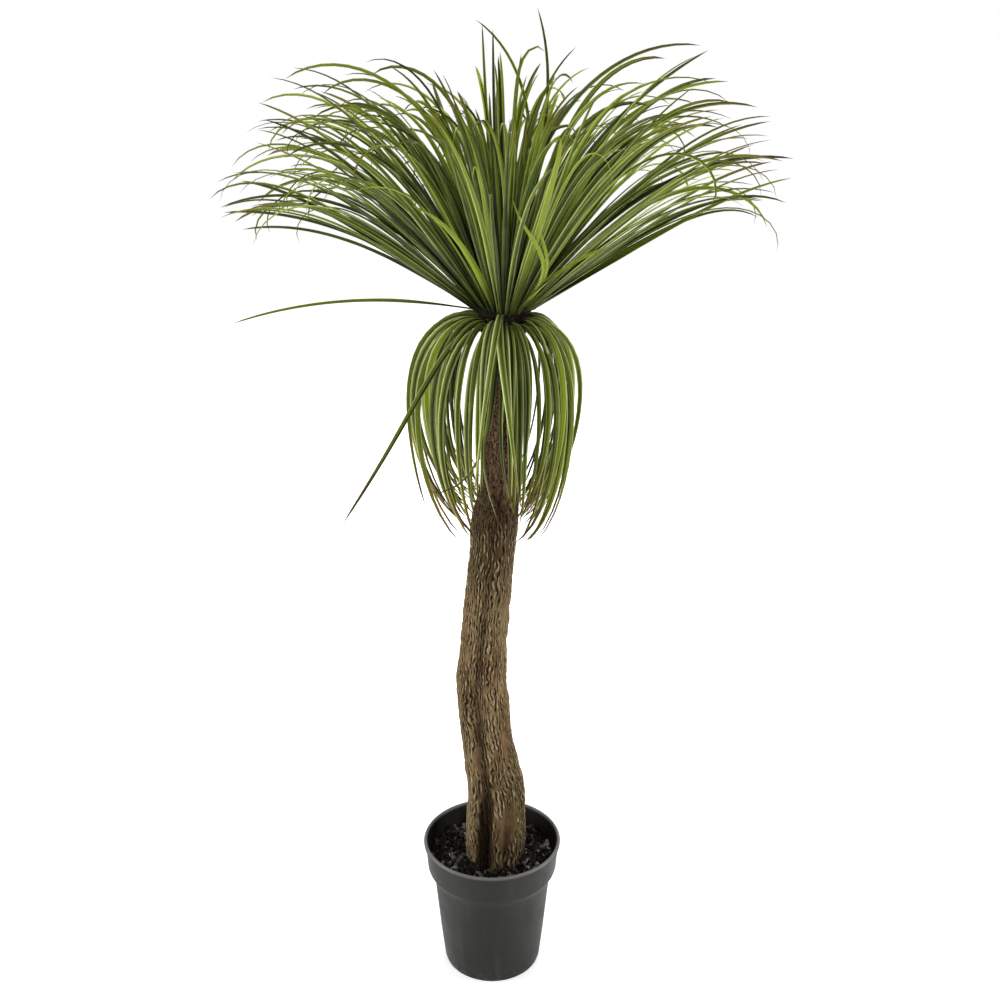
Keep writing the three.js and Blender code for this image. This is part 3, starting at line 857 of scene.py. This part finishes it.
def modelChip():
    # a flat sliver of bark, which each copy curls by its own amount
    grid = {"x_subdivisions": 8, "y_subdivisions": 2, "size": 1}
    chip = startPiece("chipPattern", bpy.ops.mesh.primitive_grid_add, **grid)
    openEdit(chip)
    pick(chip, "VERT", lambda corner: abs(corner.co.x) > 0.45)
    bpy.ops.transform.resize(value=(1, 0.55, 1))
    closeEdit()
    finishWith(chip, "SOLIDIFY", thickness=mix["chipThick"], offset=0)
    return chip


def turned(points, angles):
    # turned about x, then y, then z
    for axis, angle in enumerate(angles):
        other = [at for at in range(3) if at != axis]
        cosine, sine = math.cos(angle), math.sin(angle)
        rolled = points[:, other] @ np.array([[cosine, sine], [-sine, cosine]])
        points = points.copy()
        points[:, other] = rolled
    return points


def onMix(draw, inner, outer):
    # a place on the bed, clear of the trunk
    trunkX = trunk["stations"][1][1]
    while True:
        turn, reach = 2 * math.pi * draw(), outer * math.sqrt(draw())
        x, y = reach * math.cos(turn), reach * math.sin(turn)
        if math.hypot(x - trunkX, y) > inner:
            return x, y


def turnCrumb(shape, draw):
    least, most = mix["crumbSize"]
    size = least + (most - least) * draw() ** 2
    return turned(shape * size, [2 * math.pi * draw() for _ in range(3)]), 0.45 * size


def curlChip(shape, draw):
    long, wide = within(mix["chipLong"], draw), within(mix["chipWide"], draw)
    curl = math.radians(within(mix["chipCurl"], draw))
    bend, reach = shape[:, 0] * curl, long / curl + shape[:, 2] * 5
    upOrDown = 1 if draw() > 0.4 else -1
    points = np.stack([
        reach * np.sin(bend),
        shape[:, 1] * wide * (1 + 0.3 * np.sin(3 * bend)),
        reach * (np.cos(bend) - 1) * upOrDown,
    ], axis=1)
    askew = [math.radians(eitherWay(tip, draw)) for tip in mix["chipTip"]]
    return turned(points, [*askew, 2 * math.pi * draw()]), mix["chipLift"]


def strew(name, pattern, seed, count, ring, shapeOne, darkest):
    # copies the pattern over the bed; shapeOne gives a copy's points and how high it lies
    shape, draw = readPoints(pattern), seededDraw(seed)
    copies = []
    for _ in range(count):
        x, y = onMix(draw, *ring)
        points, lift = shapeOne(shape, draw)
        copy = copyOf(pattern)
        writePoints(copy, (points + (x, y, mixTop(x, y) + lift)) * millimetre)
        writeValue(copy, "tone", darkest + (1 - darkest) * draw())
        copies.append(copy)
    putAway(pattern)
    return joinAll(copies, name)


mixLook = {
    "dark": "020202",
    "brown": "0e0c0b",
    "lipWearAndHighlight": "332d2b",
    "pale": "a39a90",
    "stops": [(0.0, "dark"), (0.5, "brown"), (0.8, "lipWearAndHighlight"), (1.0, "pale")],  # by the tone of a crumb
    "patchSize": 160.0,
    "roughness": 0.5,
    "specular": 0.08,
    "grainSize": 1400.0,
    "relief": (0.6, 0.0008),
}


def makeMixBark():
    material, tree, shader = startMaterial("mixBark")
    place = objectPlace(tree)
    mottle = placeGroup(tree, mottleGroup, Vector=place, Size=mixLook["patchSize"])
    stops = [(at, mixLook[name]) for at, name in mixLook["stops"]]
    colour = layColours(tree, addRamp(tree, readValue(tree, "tone"), stops), mixLook, [
        (times(tree, mottle.outputs["Patches"], 0.5), "dark"),
        (times(tree, mottle.outputs["Specks"], 0.12), "pale"),
    ])
    grain = addNoise(tree, place, mixLook["grainSize"], 3.0, 0.7)
    finishMaterial(tree, shader, mixLook, colour, mixLook["roughness"], grain)
    return material


mixBark = makeMixBark()
dress(modelBed(), mixBark, "bark_mix", "bark_mix")
crumbs = strew("mixCrumbs", modelCrumb(), mix["seed"], mix["crumbs"], mix["crumbRing"], turnCrumb, 0)
smoothTo(crumbs, 40)
dress(crumbs, mixBark, "bark_mix")
chips = strew("mixChips", modelChip(), mix["seed"] + 1, mix["chips"], mix["chipRing"], curlChip, 0.35)
turnFacesOut(chips)
smoothTo(chips, 35)
dress(chips, mixBark, "bark_mix")


# Leaves: one blade is modelled, and each copy is bent along its own centre line

crown = {"x": 14, "y": -3, "floor": 876}
heart = {"rootRadius": 32, "rootFloor": 3.2, "rootDome": 26}
collarRoot = 26  # how far from the trunk's axis the skirt's leaves are rooted
blade = {
    "rings": 26,
    "skirtRings": 20,
    "fold": 0.5,  # depth of the channel, as a share of half the width
    "thickness": 0.2,
    "lift": 0.2,  # how far the blade lies over its centre line, as a share of half the width
    "rootWidth": 0.55,  # share of the full width, where the leaf leaves the crown
    "widest": 0.28,  # share of the length
    "narrowing": 0.6,  # share of the width lost before the point
    "pointing": 10,  # higher makes a shorter point
    "rollShare": 0.35,
    "pathSteps": 96,
    "barkRoom": 2.6,
    "drapedUnder": 800,  # height under which a leaf may lie against the trunk
    "gather": 1.55,  # a hanging leaf has its rings closer together near the root, where it arches
    "smoothUnder": 24,
}
plainLeaf = {
    "tuck": 0,  # degrees that the last of a leaf turns in by
    "hook": 0,  # and that its very tip turns down by
    "hangs": False,
    "tone": None,  # light or dark, from 0 to 1, where it isn't left to the draw
    "toneShare": 1,
    "fresh": 1,  # below 1 the tip keeps more of the leaf's green
}


def planLeaf(**shape):
    # swing, roll and twist come in degrees
    for name in ("swing", "roll", "twist"):
        shape[name] = math.radians(shape[name])
    return {**plainLeaf, **shape}


def modelBlade(rings):
    # a four-sided bar along +Y, cut into rings, folded into a shallow channel and drawn to a point
    pattern = startPiece(
        "bladePattern", bpy.ops.mesh.primitive_cylinder_add, vertices=4, radius=1, depth=1,
        end_fill_type="NGON", location=(0, 0.5, 0), rotation=(math.radians(-90), 0, 0),
    )
    openEdit(pattern)
    pick(pattern, "EDGE", lambda edge: abs(edge.verts[0].co.y - edge.verts[1].co.y) > 0.5)
    bpy.ops.mesh.subdivide(number_cuts=rings - 1)
    pick(pattern, "VERT", lambda corner: corner.co.z > 0.5)
    bpy.ops.transform.translate(value=(0, 0, -1 - blade["fold"]))
    pick(pattern, "VERT", lambda corner: corner.co.z < -0.9)
    bpy.ops.transform.translate(value=(0, 0, 1 - blade["fold"] - blade["thickness"]))
    pick(pattern, "VERT", lambda corner: corner.co.y > 0.999)
    bpy.ops.mesh.merge(type="CENTER")
    closeEdit()
    layer = pattern.data.uv_layers.active or pattern.data.uv_layers.new(name="bladeMap")
    layer.name = "bladeMap"
    points = readPoints(pattern)
    for loop in pattern.data.loops:
        x, y, _ = points[loop.vertex_index]
        layer.data[loop.index].uv = (0.5 + 0.5 * x, y)
    return pattern


def widthShare(share):
    root, widest = blade["rootWidth"], blade["widest"]
    swell = root + (1 - root) * np.minimum(share / widest, 1)
    past = np.clip((share - widest) / (1 - widest), 0, 1)
    return swell * (1 - blade["narrowing"] * past) * np.sqrt(1 - past ** blade["pointing"])


def leafFrame(leaf, share):
    # along, side and upper directions at these shares of a leaf's length
    bent = 1 - (1 - share) ** leaf["bend"] if leaf["hangs"] else share ** leaf["bend"]
    ending = leaf["tuck"] * share**3 + leaf["hook"] * share**7
    lean = np.radians(leaf["lean"] + (leaf["tipLean"] - leaf["lean"]) * bent + ending)
    turn = leaf["round"] + leaf["swing"] * share**2
    along = np.stack([np.sin(lean) * np.cos(turn), np.sin(lean) * np.sin(turn), np.cos(lean)], axis=1)
    flat = np.stack([-np.sin(turn), np.cos(turn), np.zeros_like(turn)], axis=1)
    upright = np.cross(along, flat)
    roll = (leaf["roll"] * np.minimum(share / blade["rollShare"], 1) + leaf["twist"] * share)[:, None]
    side = flat * np.cos(roll) + upright * np.sin(roll)
    return along, side, np.cross(along, side)


def clearOfTrunk(line, turn):
    # where a hanging leaf would run into the trunk, it lies against the bark on its own side
    stations = trunk["stations"]
    height = np.clip(line[:, 2], stations[0][0], stations[-1][0])
    off = line[:, :2] - np.stack([alongTrunk(height, 1), alongTrunk(height, 2)], axis=1)
    outward = np.array([math.cos(turn), math.sin(turn)])
    sideward = np.array([-math.sin(turn), math.cos(turn)])
    least = alongTrunk(height, 3) + blade["barkRoom"]
    needed = np.sqrt(np.maximum(least**2 - (off @ sideward) ** 2, 0))
    push = np.where(line[:, 2] < blade["drapedUnder"], np.maximum(needed - off @ outward, 0), 0)
    pushed = line.copy()
    pushed[:, :2] += push[:, None] * outward
    return pushed


def bendBlade(pattern, leaf, tone):
    copy = copyOf(pattern)
    unit = readPoints(copy)
    share = np.clip(unit[:, 1], 0, 1) ** (blade["gather"] if leaf["hangs"] else 1)
    steps = np.linspace(0, 1, blade["pathSteps"] + 1)
    strides = leafFrame(leaf, (steps[1:] + steps[:-1]) / 2)[0] * leaf["length"] / blade["pathSteps"]
    line = np.vstack([np.zeros(3), np.cumsum(strides, axis=0)]) + leaf["root"]
    if leaf["hangs"]:
        line = clearOfTrunk(line, leaf["round"])
    at = np.stack([np.interp(share, steps, line[:, axis]) for axis in range(3)], axis=1)
    _, side, up = leafFrame(leaf, share)
    half = (leaf["width"] * widthShare(share) / 2)[:, None]
    points = at - side * unit[:, 0:1] * half + up * (unit[:, 2:3] + blade["lift"]) * half
    writePoints(copy, points * millimetre)
    writeValue(copy, "tone", tone * leaf["toneShare"] if leaf["tone"] is None else leaf["tone"])
    # which half of the blade is painted lighter, as if lit, and which darker, as if in shade
    writeValue(copy, "lit", 0 if leaf["hangs"] and math.cos(leaf["round"]) > 0 else 1)
    writeValue(copy, "share", share * leaf["fresh"])
    return copy


def growAll(leaves, name, seed, rings):
    pattern = modelBlade(rings)
    draw = seededDraw(seed)
    whole = joinAll([bendBlade(pattern, leaf, draw()) for leaf in leaves], name)
    putAway(pattern)
    smoothTo(whole, blade["smoothUnder"])
    return whole


def heartPoint(dome, turn):
    reach = heart["rootRadius"] * math.sin(dome)
    return np.array([
        crown["x"] + reach * math.cos(turn),
        crown["y"] + reach * math.sin(turn),
        crown["floor"] + heart["rootFloor"] + heart["rootDome"] * math.cos(dome),
    ])


def collarPoint(turn, height, reach=collarRoot):
    return np.array([crown["x"] + reach * math.cos(turn), crown["y"] + reach * math.sin(turn), height])


# Fountain of young leaves: those of the rule, and those that the eye picks out

fountain = {
    "count": 202,
    "seed": 7,
    "turnJitter": 20,
    "widestLean": 58,
    "frontLift": 15,
    "leanJitter": 8,
    "droop": (44, 126),
    "oldDroop": 0.48,  # the oldest droop less by this share
    "leftDroop": 0.12,
    "frontDroop": 0.5,
    "lowestTip": 136,
    "bend": (2.2, 4.2),
    "rise": (184, 262),
    "longest": 336,
    "oldLoss": 22,
    "lengthJitter": 36,
    "swing": 44,
    "roll": 90,
    "twist": 60,
    "width": (7, 10.4),
    "frontNarrow": 0.22,
    "youngest": 0,
    "thinnedFrom": 2,  # a leaf further right than this share of the way is there every other time
    "hook": (0, 0),
    "leftOut": 182,  # a marked leaf takes its place
}
fineFountain = dict(
    fountain, count=140, seed=77, width=(4.2, 7), droop=(60, 132), longest=334, lengthJitter=50,
    youngest=0.26, rise=(205, 245), thinnedFrom=0.3, hook=(-10, 120), leftOut=None,
)
# degrees round, lean at the root and at the tip, length, bend, swing, width
markedLeaves = [
    (184, 80, 108, 272, 1.2, 0, 7.5), (0, 13, -20, 297, 3, 0, 7), (180, 5, 2, 276, 1.4, 0, 7),
    (180, 3, 0, 270, 1.5, 0, 7), (0, 11, -58, 300, 2.6, 0, 7), (0, 3, 165, 272, 16, 0, 8.5),
    (180, 14, 124, 366, 2.4, 0, 8), (180, 14, 132, 325, 3, 0, 8), (180, 9, 128, 302, 4, 0, 9),
    (180, 44, 112, 318, 1.6, 0, 8), (180, 54, 94, 300, 1.6, 0, 8.5), (0, 8, 98, 362, 1.9, 0, 8),
    (0, 19, 62, 330, 1.2, 0, 8), (0, 22, 92, 335, 2, 0, 8.5), (0, 28, 105, 345, 2.2, 0, 9),
    (0, 42, 98, 338, 1.8, 0, 8.5), (0, 46, 160, 320, 3, 0, 8.5),
    (196, 20, 128, 304, 3, 0, 8.5), (168, 25, 122, 304, 2.6, 0, 8.5), (206, 31, 126, 300, 2.8, 0, 8.5),
    (176, 58, 100, 280, 2, 0, 8),
]
# and the short ones that curl in front of the rest, at the lightest tone: a painted highlight for their
# glossy shine
frontLeaves = [
    (306, 50, 10, 150, 4, -100, 6), (302, 51, 8, 191, 4.8, -144, 6), (300, 52, 74, 142, 4, 85, 7),
    (253, 46, 71, 200, 5.2, -45, 7),
]
marked = {
    "roll": 35,
    "twist": 20,
    "widestLean": 60,  # rooted at the heart's rim
    "rimDome": 1.5,
    "frontDome": 1.45,
    # the lightest tone: a painted highlight on the short front leaves
    "frontHighlightTone": 1,
    "lowestTone": 0.8,  # of the first of the list
}


def fountainRule(rule):
    draw, drawHook = seededDraw(rule["seed"]), seededDraw(rule["seed"] + 1)
    leaves = []
    for index in range(rule["count"]):
        age = rule["youngest"] + (1 - rule["youngest"]) * (index + 0.5) / rule["count"]
        turn = index * goldenTurn + math.radians(eitherWay(rule["turnJitter"], draw))
        dome = math.acos(1 - age)
        inFront = max(0, -math.sin(turn)) ** 2
        widest = rule["widestLean"] - rule["frontLift"] * inFront
        lean = widest * dome / (math.pi / 2) + eitherWay(rule["leanJitter"], draw)
        sideways = 1 - rule["leftDroop"] * age * math.cos(turn)
        drawn = within(rule["droop"], draw) * sideways * (1 - rule["frontDroop"] * inFront)
        drawn *= 1 - rule["oldDroop"] * age
        droop = min(drawn, rule["lowestTip"] - lean)
        bend = within(rule["bend"], draw)
        highest = within(rule["rise"], draw) / math.cos(math.radians(lean + droop / (bend + 1)))
        grown = rule["longest"] - rule["oldLoss"] * age + eitherWay(rule["lengthJitter"], draw)
        leaf = planLeaf(
            root=heartPoint(dome, turn), round=turn, lean=lean, tipLean=lean + droop,
            hook=within(rule["hook"], drawHook), length=min(grown, highest), bend=bend,
            swing=eitherWay(rule["swing"], draw), roll=eitherWay(rule["roll"], draw),
            twist=eitherWay(rule["twist"], draw),
            width=within(rule["width"], draw) * (1 - rule["frontNarrow"] * inFront),
        )
        kept = math.cos(turn) < rule["thinnedFrom"] or index % 2
        if kept and index != rule["leftOut"]:
            leaves.append(leaf)
    return leaves


def markedRule():
    leaves = []
    for plan in markedLeaves + frontLeaves:
        degrees, lean, tipLean, length, bend, swing, width = plan
        turn = math.radians(degrees)
        inFront = plan in frontLeaves
        rimmed = min(lean / marked["widestLean"] * math.pi / 2, marked["rimDome"])
        leaves.append(planLeaf(
            root=heartPoint(marked["frontDome"] if inFront else rimmed, turn), round=turn, lean=lean,
            tipLean=tipLean, length=length, bend=bend, swing=swing, roll=marked["roll"],
            twist=marked["twist"], width=width, tone=marked["frontHighlightTone"] if inFront else None,
        ))
    leaves[0]["tone"] = marked["lowestTone"]
    return leaves


youngLook = {
    # colours along the leaf; the near-black at the root is painted shade deep in the crown
    "along": [
        (0.0, "040603"), (0.09, "0b1309"), (0.24, "172911"), (0.5, "385316"), (0.78, "657919"),
        (0.91, "837b28"), (1.0, "6b452c"),
    ],
    "bright": "a4ba2e",
    "brightShare": 0.62,
    "blue": "2b4f3c",
    "blueShare": 0.85,
    "deep": "0c1806",
    "shadedHalfShare": 0.66,  # painted shade on one half of the blade, beyond the fold
    "pale": "a8b458",
    "litHalfShare": 0.16,  # and a painted highlight on the other
    "marginAndSheen": "e0e88a",
    "marginAndSheenShare": 0.9,
    "marginAndSheenFrom": (0.85, 0.35),  # narrowest and widest pale edge band, partly a painted highlight, as the share of half the blade inside it
    "roughness": 0.38,
    "specular": 0.19,
    "relief": (0.35, 0.0006),
}
oldLook = {
    "along": [
        (0.0, "1c1d08"), (0.06, "3c490d"), (0.3, "4f6111"), (0.58, "5a6a12"), (0.76, "6d5f1c"),
        (0.86, "75441f"), (1.0, "6a5450"),
    ],
    "bright": "8ea014",
    "brightShare": 0.75,
    "blue": "3c561c",
    "blueShare": 0.8,
    "deep": "131d02",
    # painted shade on one half of the blade, and a painted highlight on the other, as in the young look
    "shadedHalfShare": 0.86,
    "pale": "a9b652",
    "litHalfShare": 0.2,
    "marginAndSheen": "f0f4b0",
    "marginAndSheenShare": 0.95,
    "marginAndSheenFrom": (0.82, 0.22),
    "roughness": 0.42,
    "specular": 0.09,
    "relief": (0.35, 0.0006),
}
# what a leaf's tone spreads out into: its own stretch of the patterns, width of pale edge and painted
# highlight, and depth of painted shade
toneSpread = {"pattern": 37.0, "marginAndSheen": 13.0, "parting": 7.0}


def makeLeaf(name, look):
    material, tree, shader = startMaterial(name)
    tone, share = readValue(tree, "tone"), readValue(tree, "share")

    def ofTone(*limits):
        return addRange(tree, tone, *limits)

    def ofShare(*limits):
        return addRange(tree, share, *limits)

    def ownValue(effect):
        return addMath(tree, "FRACT", times(tree, tone, toneSpread[effect]))

    ownMap = addNode(tree, "ShaderNodeVectorMath", {"operation": "ADD"})
    shift = addNode(tree, "ShaderNodeCombineXYZ", Z=times(tree, tone, toneSpread["pattern"]))
    give(tree, ownMap.inputs[0], addNode(tree, "ShaderNodeUVMap", {"uv_map": "bladeMap"}).outputs["UV"])
    give(tree, ownMap.inputs[1], shift.outputs[0])
    marginAndSheen = addRange(tree, ownValue("marginAndSheen"), 0.0, 1.0, *look["marginAndSheenFrom"])
    marks = placeGroup(tree, bladeGroup, Map=ownMap.outputs[0], Margin=marginAndSheen, Veins=15.0)
    mottle = placeGroup(tree, mottleGroup, Vector=objectPlace(tree), Size=30.0)
    apart = addMath(tree, "SUBTRACT", readValue(tree, "lit"), marks.outputs["Half"])
    shadedHalf = addMath(tree, "ABSOLUTE", apart)
    half = addMath(tree, "SUBTRACT", 1.0, shadedHalf)
    parting = addRange(tree, ownValue("parting"), 0.1, 0.9, 0.2, 1.0)
    # the pale edge band, partly a painted highlight, shows most on the painted lit half, away from root and
    # tip, and on lighter leaves
    lighter = times(tree, addRange(tree, half, 0.0, 1.0, 0.35, 1.0), ofShare(0.98, 0.72))
    for fading in (ofShare(0.02, 0.3, 0.3, 1.0), ofTone(0.05, 0.5, 0.4, 1.0)):
        lighter = times(tree, lighter, fading)
    steps = [
        (times(tree, ofTone(0.55, 0.95), ofShare(0.08, 0.4)), look["brightShare"], "bright"),
        (times(tree, ofTone(0.55, 0.2), ofShare(0.75, 0.3)), look["blueShare"], "blue"),
        (ofTone(0.5, 0.15), 0.72, "deep"),
        (mottle.outputs["Patches"], 0.14, "bright"),
        (marks.outputs["Streaks"], 0.25, "deep"),
        # painted shade on the half beyond the fold, and a painted highlight on the other half
        (times(tree, shadedHalf, parting), look["shadedHalfShare"], "deep"),
        (times(tree, half, ofShare(0.95, 0.7)), look["litHalfShare"], "pale"),
        # pale edge band: partly real, partly a painted highlight
        (times(tree, marks.outputs["Margin"], lighter), look["marginAndSheenShare"], "marginAndSheen"),
    ]
    masks = [(times(tree, mask, amount), name) for mask, amount, name in steps]
    colour = layColours(tree, addRamp(tree, share, look["along"]), look, masks)
    veins, rough = marks.outputs["Veins"], look["roughness"]
    gloss = addRange(tree, veins, 0.3, 0.7, rough - 0.06, rough + 0.1)
    finishMaterial(tree, shader, look, colour, gloss, veins)
    return material


youngLeaf = makeLeaf("youngLeaf", youngLook)
bigFountain, thinFountain = fountainRule(fountain) + markedRule(), fountainRule(fineFountain)
bigBlades = growAll(bigFountain, "fountainBlades", 101, blade["rings"])
dress(bigBlades, youngLeaf, "young_leaf", "fountain_leaves")
dress(growAll(thinFountain, "fountainFineBlades", 102, blade["rings"]), youngLeaf, "young_leaf")


# Skirt of older leaves

skirt = {
    # degrees round from and to, and how many leaves hang there
    "bunches": [(120, 245, 23), (-61, 58, 20), (82, 98, 3)],
    "seed": 23,
    "placeJitter": 0.8,
    "rootHeights": (862, 866, 870),
    "lean": (62, 76),
    "tierLean": 4,
    "tipLean": (179, 185),
    "bend": (3.4, 5.1),
    "rightBend": 2.8,  # leaves on the right turn down sooner
    "tuck": (32, 56),
    "length": (264, 324),
    "swing": 24,
    "roll": 50,
    "faceTurn": 50,  # leaves at the sides turn their upper side to the front by this much
    "twist": 40,
    "width": (6.6, 9.4),
}
fineSkirt = dict(
    skirt, bunches=[(120, 243, 26), (-65, 56, 22), (284, 296, 2)], seed=233, width=(4.4, 6.6), swing=24,
    roll=24, twist=24, length=(250, 306), bend=(4.0, 5.6), lean=(54, 74), tuck=(36, 62),
)
# leaves that the eye picks out, the stray one last: degrees round, root height, lean at the root and at the
# tip, bend, tuck, length, swing, width
markedSkirt = [
    (255, 870, 72, 175, 3.1, 6, 231, 16, 7.5), (259, 866, 51, 175, 2.5, 30, 260, 24, 7),
    (267, 870, 40, 172, 3, 0, 262, -70, 7.5), (266, 866, 43, 172, 3, 0, 258, 86, 8.5),
    (271, 862, 50, 176, 3, 6, 250, 30, 8.5), (277, 862, 66, 179, 3.6, 16, 246, -6, 8),
    (283, 866, 76, 181, 4.3, 24, 240, -20, 8.5), (289, 870, 77, 180, 5.8, 18, 250, -10, 8),
    (187, 870, 57, 181, 4.1, 17, 282, -23, 6.5), (-13, 866, 65, 185, 4.7, 34, 270, -12, 6.5),
    (250, 862, 70, 182, 3, 18, 256, -10, 8), (229, 870, 79, 140, 5.9, 0, 294, -18, 7.5),
]
# thin ones that hang loose in front of the trunk, the last with its tip out to the left
looseSkirt = [
    (272, 866, 50, 182, 3.6, 20, 272, -80, 7), (278, 866, 62, 182, 3.6, 20, 260, -80, 7),
    (260, 866, 74, 182, 3.6, 20, 260, -80, 7), (254, 866, 50, 182, 3.6, 0, 256, -50, 7),
    (266, 866, 74, 182, 3.6, -110, 250, -80, 7.5),
]
markedHang = {
    "roll": 8,
    "sideTwist": 40,  # the ends of those at the sides turn to the front by this much more
    "toneShare": 0.45,  # they are darker than the rest
    "fresh": 0.84,  # and those in front are green nearly to the tip
    "lastTone": 0.25,
}


def skirtRule(rule):
    draw = seededDraw(rule["seed"])
    leaves = []
    for first, last, count in rule["bunches"]:
        for index in range(count):
            share = (index + 0.5 + eitherWay(rule["placeJitter"], draw)) / count
            turn = math.radians(first + (last - first) * share)
            tier = index % len(rule["rootHeights"])
            leaves.append(planLeaf(
                root=collarPoint(turn, rule["rootHeights"][tier]), round=turn,
                lean=within(rule["lean"], draw) - rule["tierLean"] * tier,
                tipLean=within(rule["tipLean"], draw),
                bend=within(rule["bend"], draw) + rule["rightBend"] * max(0, math.cos(turn)),
                tuck=within(rule["tuck"], draw), length=within(rule["length"], draw),
                swing=eitherWay(rule["swing"], draw),
                roll=eitherWay(rule["roll"], draw) + rule["faceTurn"] * math.cos(turn),
                twist=eitherWay(rule["twist"], draw), width=within(rule["width"], draw), hangs=True,
            ))
    return leaves


def markedSkirtRule(plans):
    leaves = []
    for degrees, height, lean, tipLean, bend, tuck, length, swing, width in plans:
        turn = math.radians(degrees)
        leaves.append(planLeaf(
            root=collarPoint(turn, height), round=turn, lean=lean, tipLean=tipLean, bend=bend, tuck=tuck,
            length=length, swing=swing, roll=markedHang["roll"] + skirt["faceTurn"] * math.cos(turn),
            twist=markedHang["sideTwist"] * math.cos(turn), width=width, hangs=True,
            toneShare=markedHang["toneShare"], fresh=markedHang["fresh"] if math.sin(turn) < -0.5 else 1,
        ))
    leaves[-1].update(tone=markedHang["lastTone"], fresh=1, twist=0)
    return leaves


oldLeaf = makeLeaf("oldLeaf", oldLook)
bigSkirt = skirtRule(skirt) + markedSkirtRule(markedSkirt)
thinSkirt = skirtRule(fineSkirt) + markedSkirtRule(looseSkirt)
bigHangers = growAll(bigSkirt, "skirtBlades", 103, blade["skirtRings"])
dress(bigHangers, oldLeaf, "old_leaf", "skirt_leaves")
dress(growAll(thinSkirt, "skirtFineBlades", 104, blade["skirtRings"]), oldLeaf, "old_leaf")


# Crown: the woody heart and collar, and the dry stubs of leaves that have gone

crownWood = {
    "sides": 64,
    "footRadius": 22,
    "footHeight": -24,
    "slab": 0.5,
    # radius and height over the heart's floor, from under the collar up and over the heart
    "outline": [
        (25, -22), (27, -17), (27, -9), (26, -4), (27, 0), (30, 3), (32.5, 7), (33, 12), (31, 20),
        (23, 29), (12, 33), (3, 34),
    ],
    "rough": 1.6,
    "roughSize": (3, 7),  # wide and high
}
stub = {
    "count": 64,
    "heights": (-14, 6),
    "middle": 292,  # degrees round, where they stand thickest
    "spread": 120,
    "leans": (105, 45),
    "leanJitter": 40,
    "droop": 70,
    "bend": 1.5,
    "long": (5, 15),
    "wide": (2, 5),
    "swing": 50,
    "roll": 60,
    "twist": 120,
    "roots": (25, 30),
    "rings": 6,
    "seed": 61,
}


def modelCrown():
    core = raiseStack("crownWood", crownWood, crownWood["footRadius"], crownWood["footHeight"])
    closeEdit()
    finishWith(core, "SUBSURF", levels=2, render_levels=2)
    points = readPoints(core) / millimetre
    wide, high = crownWood["roughSize"]
    for at, (x, y, z) in enumerate(points):
        rise = noise.fractal(Vector((x / wide, y / wide, z / high)), 1.0, 2.0, 3) * crownWood["rough"]
        reach = max(math.hypot(x, y), 1)
        points[at] += np.array([x / reach, y / reach, 0.3]) * rise
    writePoints(core, (points + (crown["x"], crown["y"], crown["floor"])) * millimetre)
    writeValue(core, "tone", 0.2)
    smoothTo(core, 50)
    return core


def stubRule():
    draw = seededDraw(stub["seed"])
    stubs = []
    for index in range(stub["count"]):
        turn = math.radians(stub["middle"] + stub["spread"] * (draw() + draw() - 1))
        share = (index + 0.5) / stub["count"]
        height, middleLean, reach = [
            first + (last - first) * share for first, last in (stub["heights"], stub["leans"], stub["roots"])
        ]
        lean = middleLean + eitherWay(stub["leanJitter"], draw)
        stubs.append(planLeaf(
            root=collarPoint(turn, crown["floor"] + height, reach), round=turn, lean=lean,
            tipLean=lean + eitherWay(stub["droop"], draw), length=within(stub["long"], draw),
            bend=stub["bend"], swing=eitherWay(stub["swing"], draw), roll=eitherWay(stub["roll"], draw),
            twist=eitherWay(stub["twist"], draw), width=within(stub["wide"], draw),
        ))
    return stubs


dryLook = {
    "dark": "0b0904",
    "brown": "262010",
    "pale": "6f6536",
    "stops": [(0.0, "dark"), (0.55, "brown"), (1.0, "pale")],
    "fibreSize": 700.0,
    "roughness": 0.85,
    "specular": 0.5,
    "relief": (0.6, 0.001),
}


def makeDryLeaf():
    material, tree, shader = startMaterial("dryLeafBase")
    place = objectPlace(tree)
    mottle = placeGroup(tree, mottleGroup, Vector=place, Size=90.0)
    fibres = addNoise(tree, addStretch(tree, place, (1, 1, 0.25)), dryLook["fibreSize"], 3.0, 0.6)
    stops = [(at, dryLook[name]) for at, name in dryLook["stops"]]
    colour = layColours(tree, addRamp(tree, readValue(tree, "tone"), stops), dryLook, [
        (addRange(tree, fibres, 0.45, 0.65, 0.0, 0.6), "dark"),
        (times(tree, mottle.outputs["Patches"], 0.3), "brown"),
    ])
    finishMaterial(tree, shader, dryLook, colour, dryLook["roughness"], fibres)
    return material


dryLeaf = makeDryLeaf()
dress(modelCrown(), dryLeaf, "trunk_bark")
dress(growAll(stubRule(), "crownStubs", 105, stub["rings"]), dryLeaf, "trunk_bark")
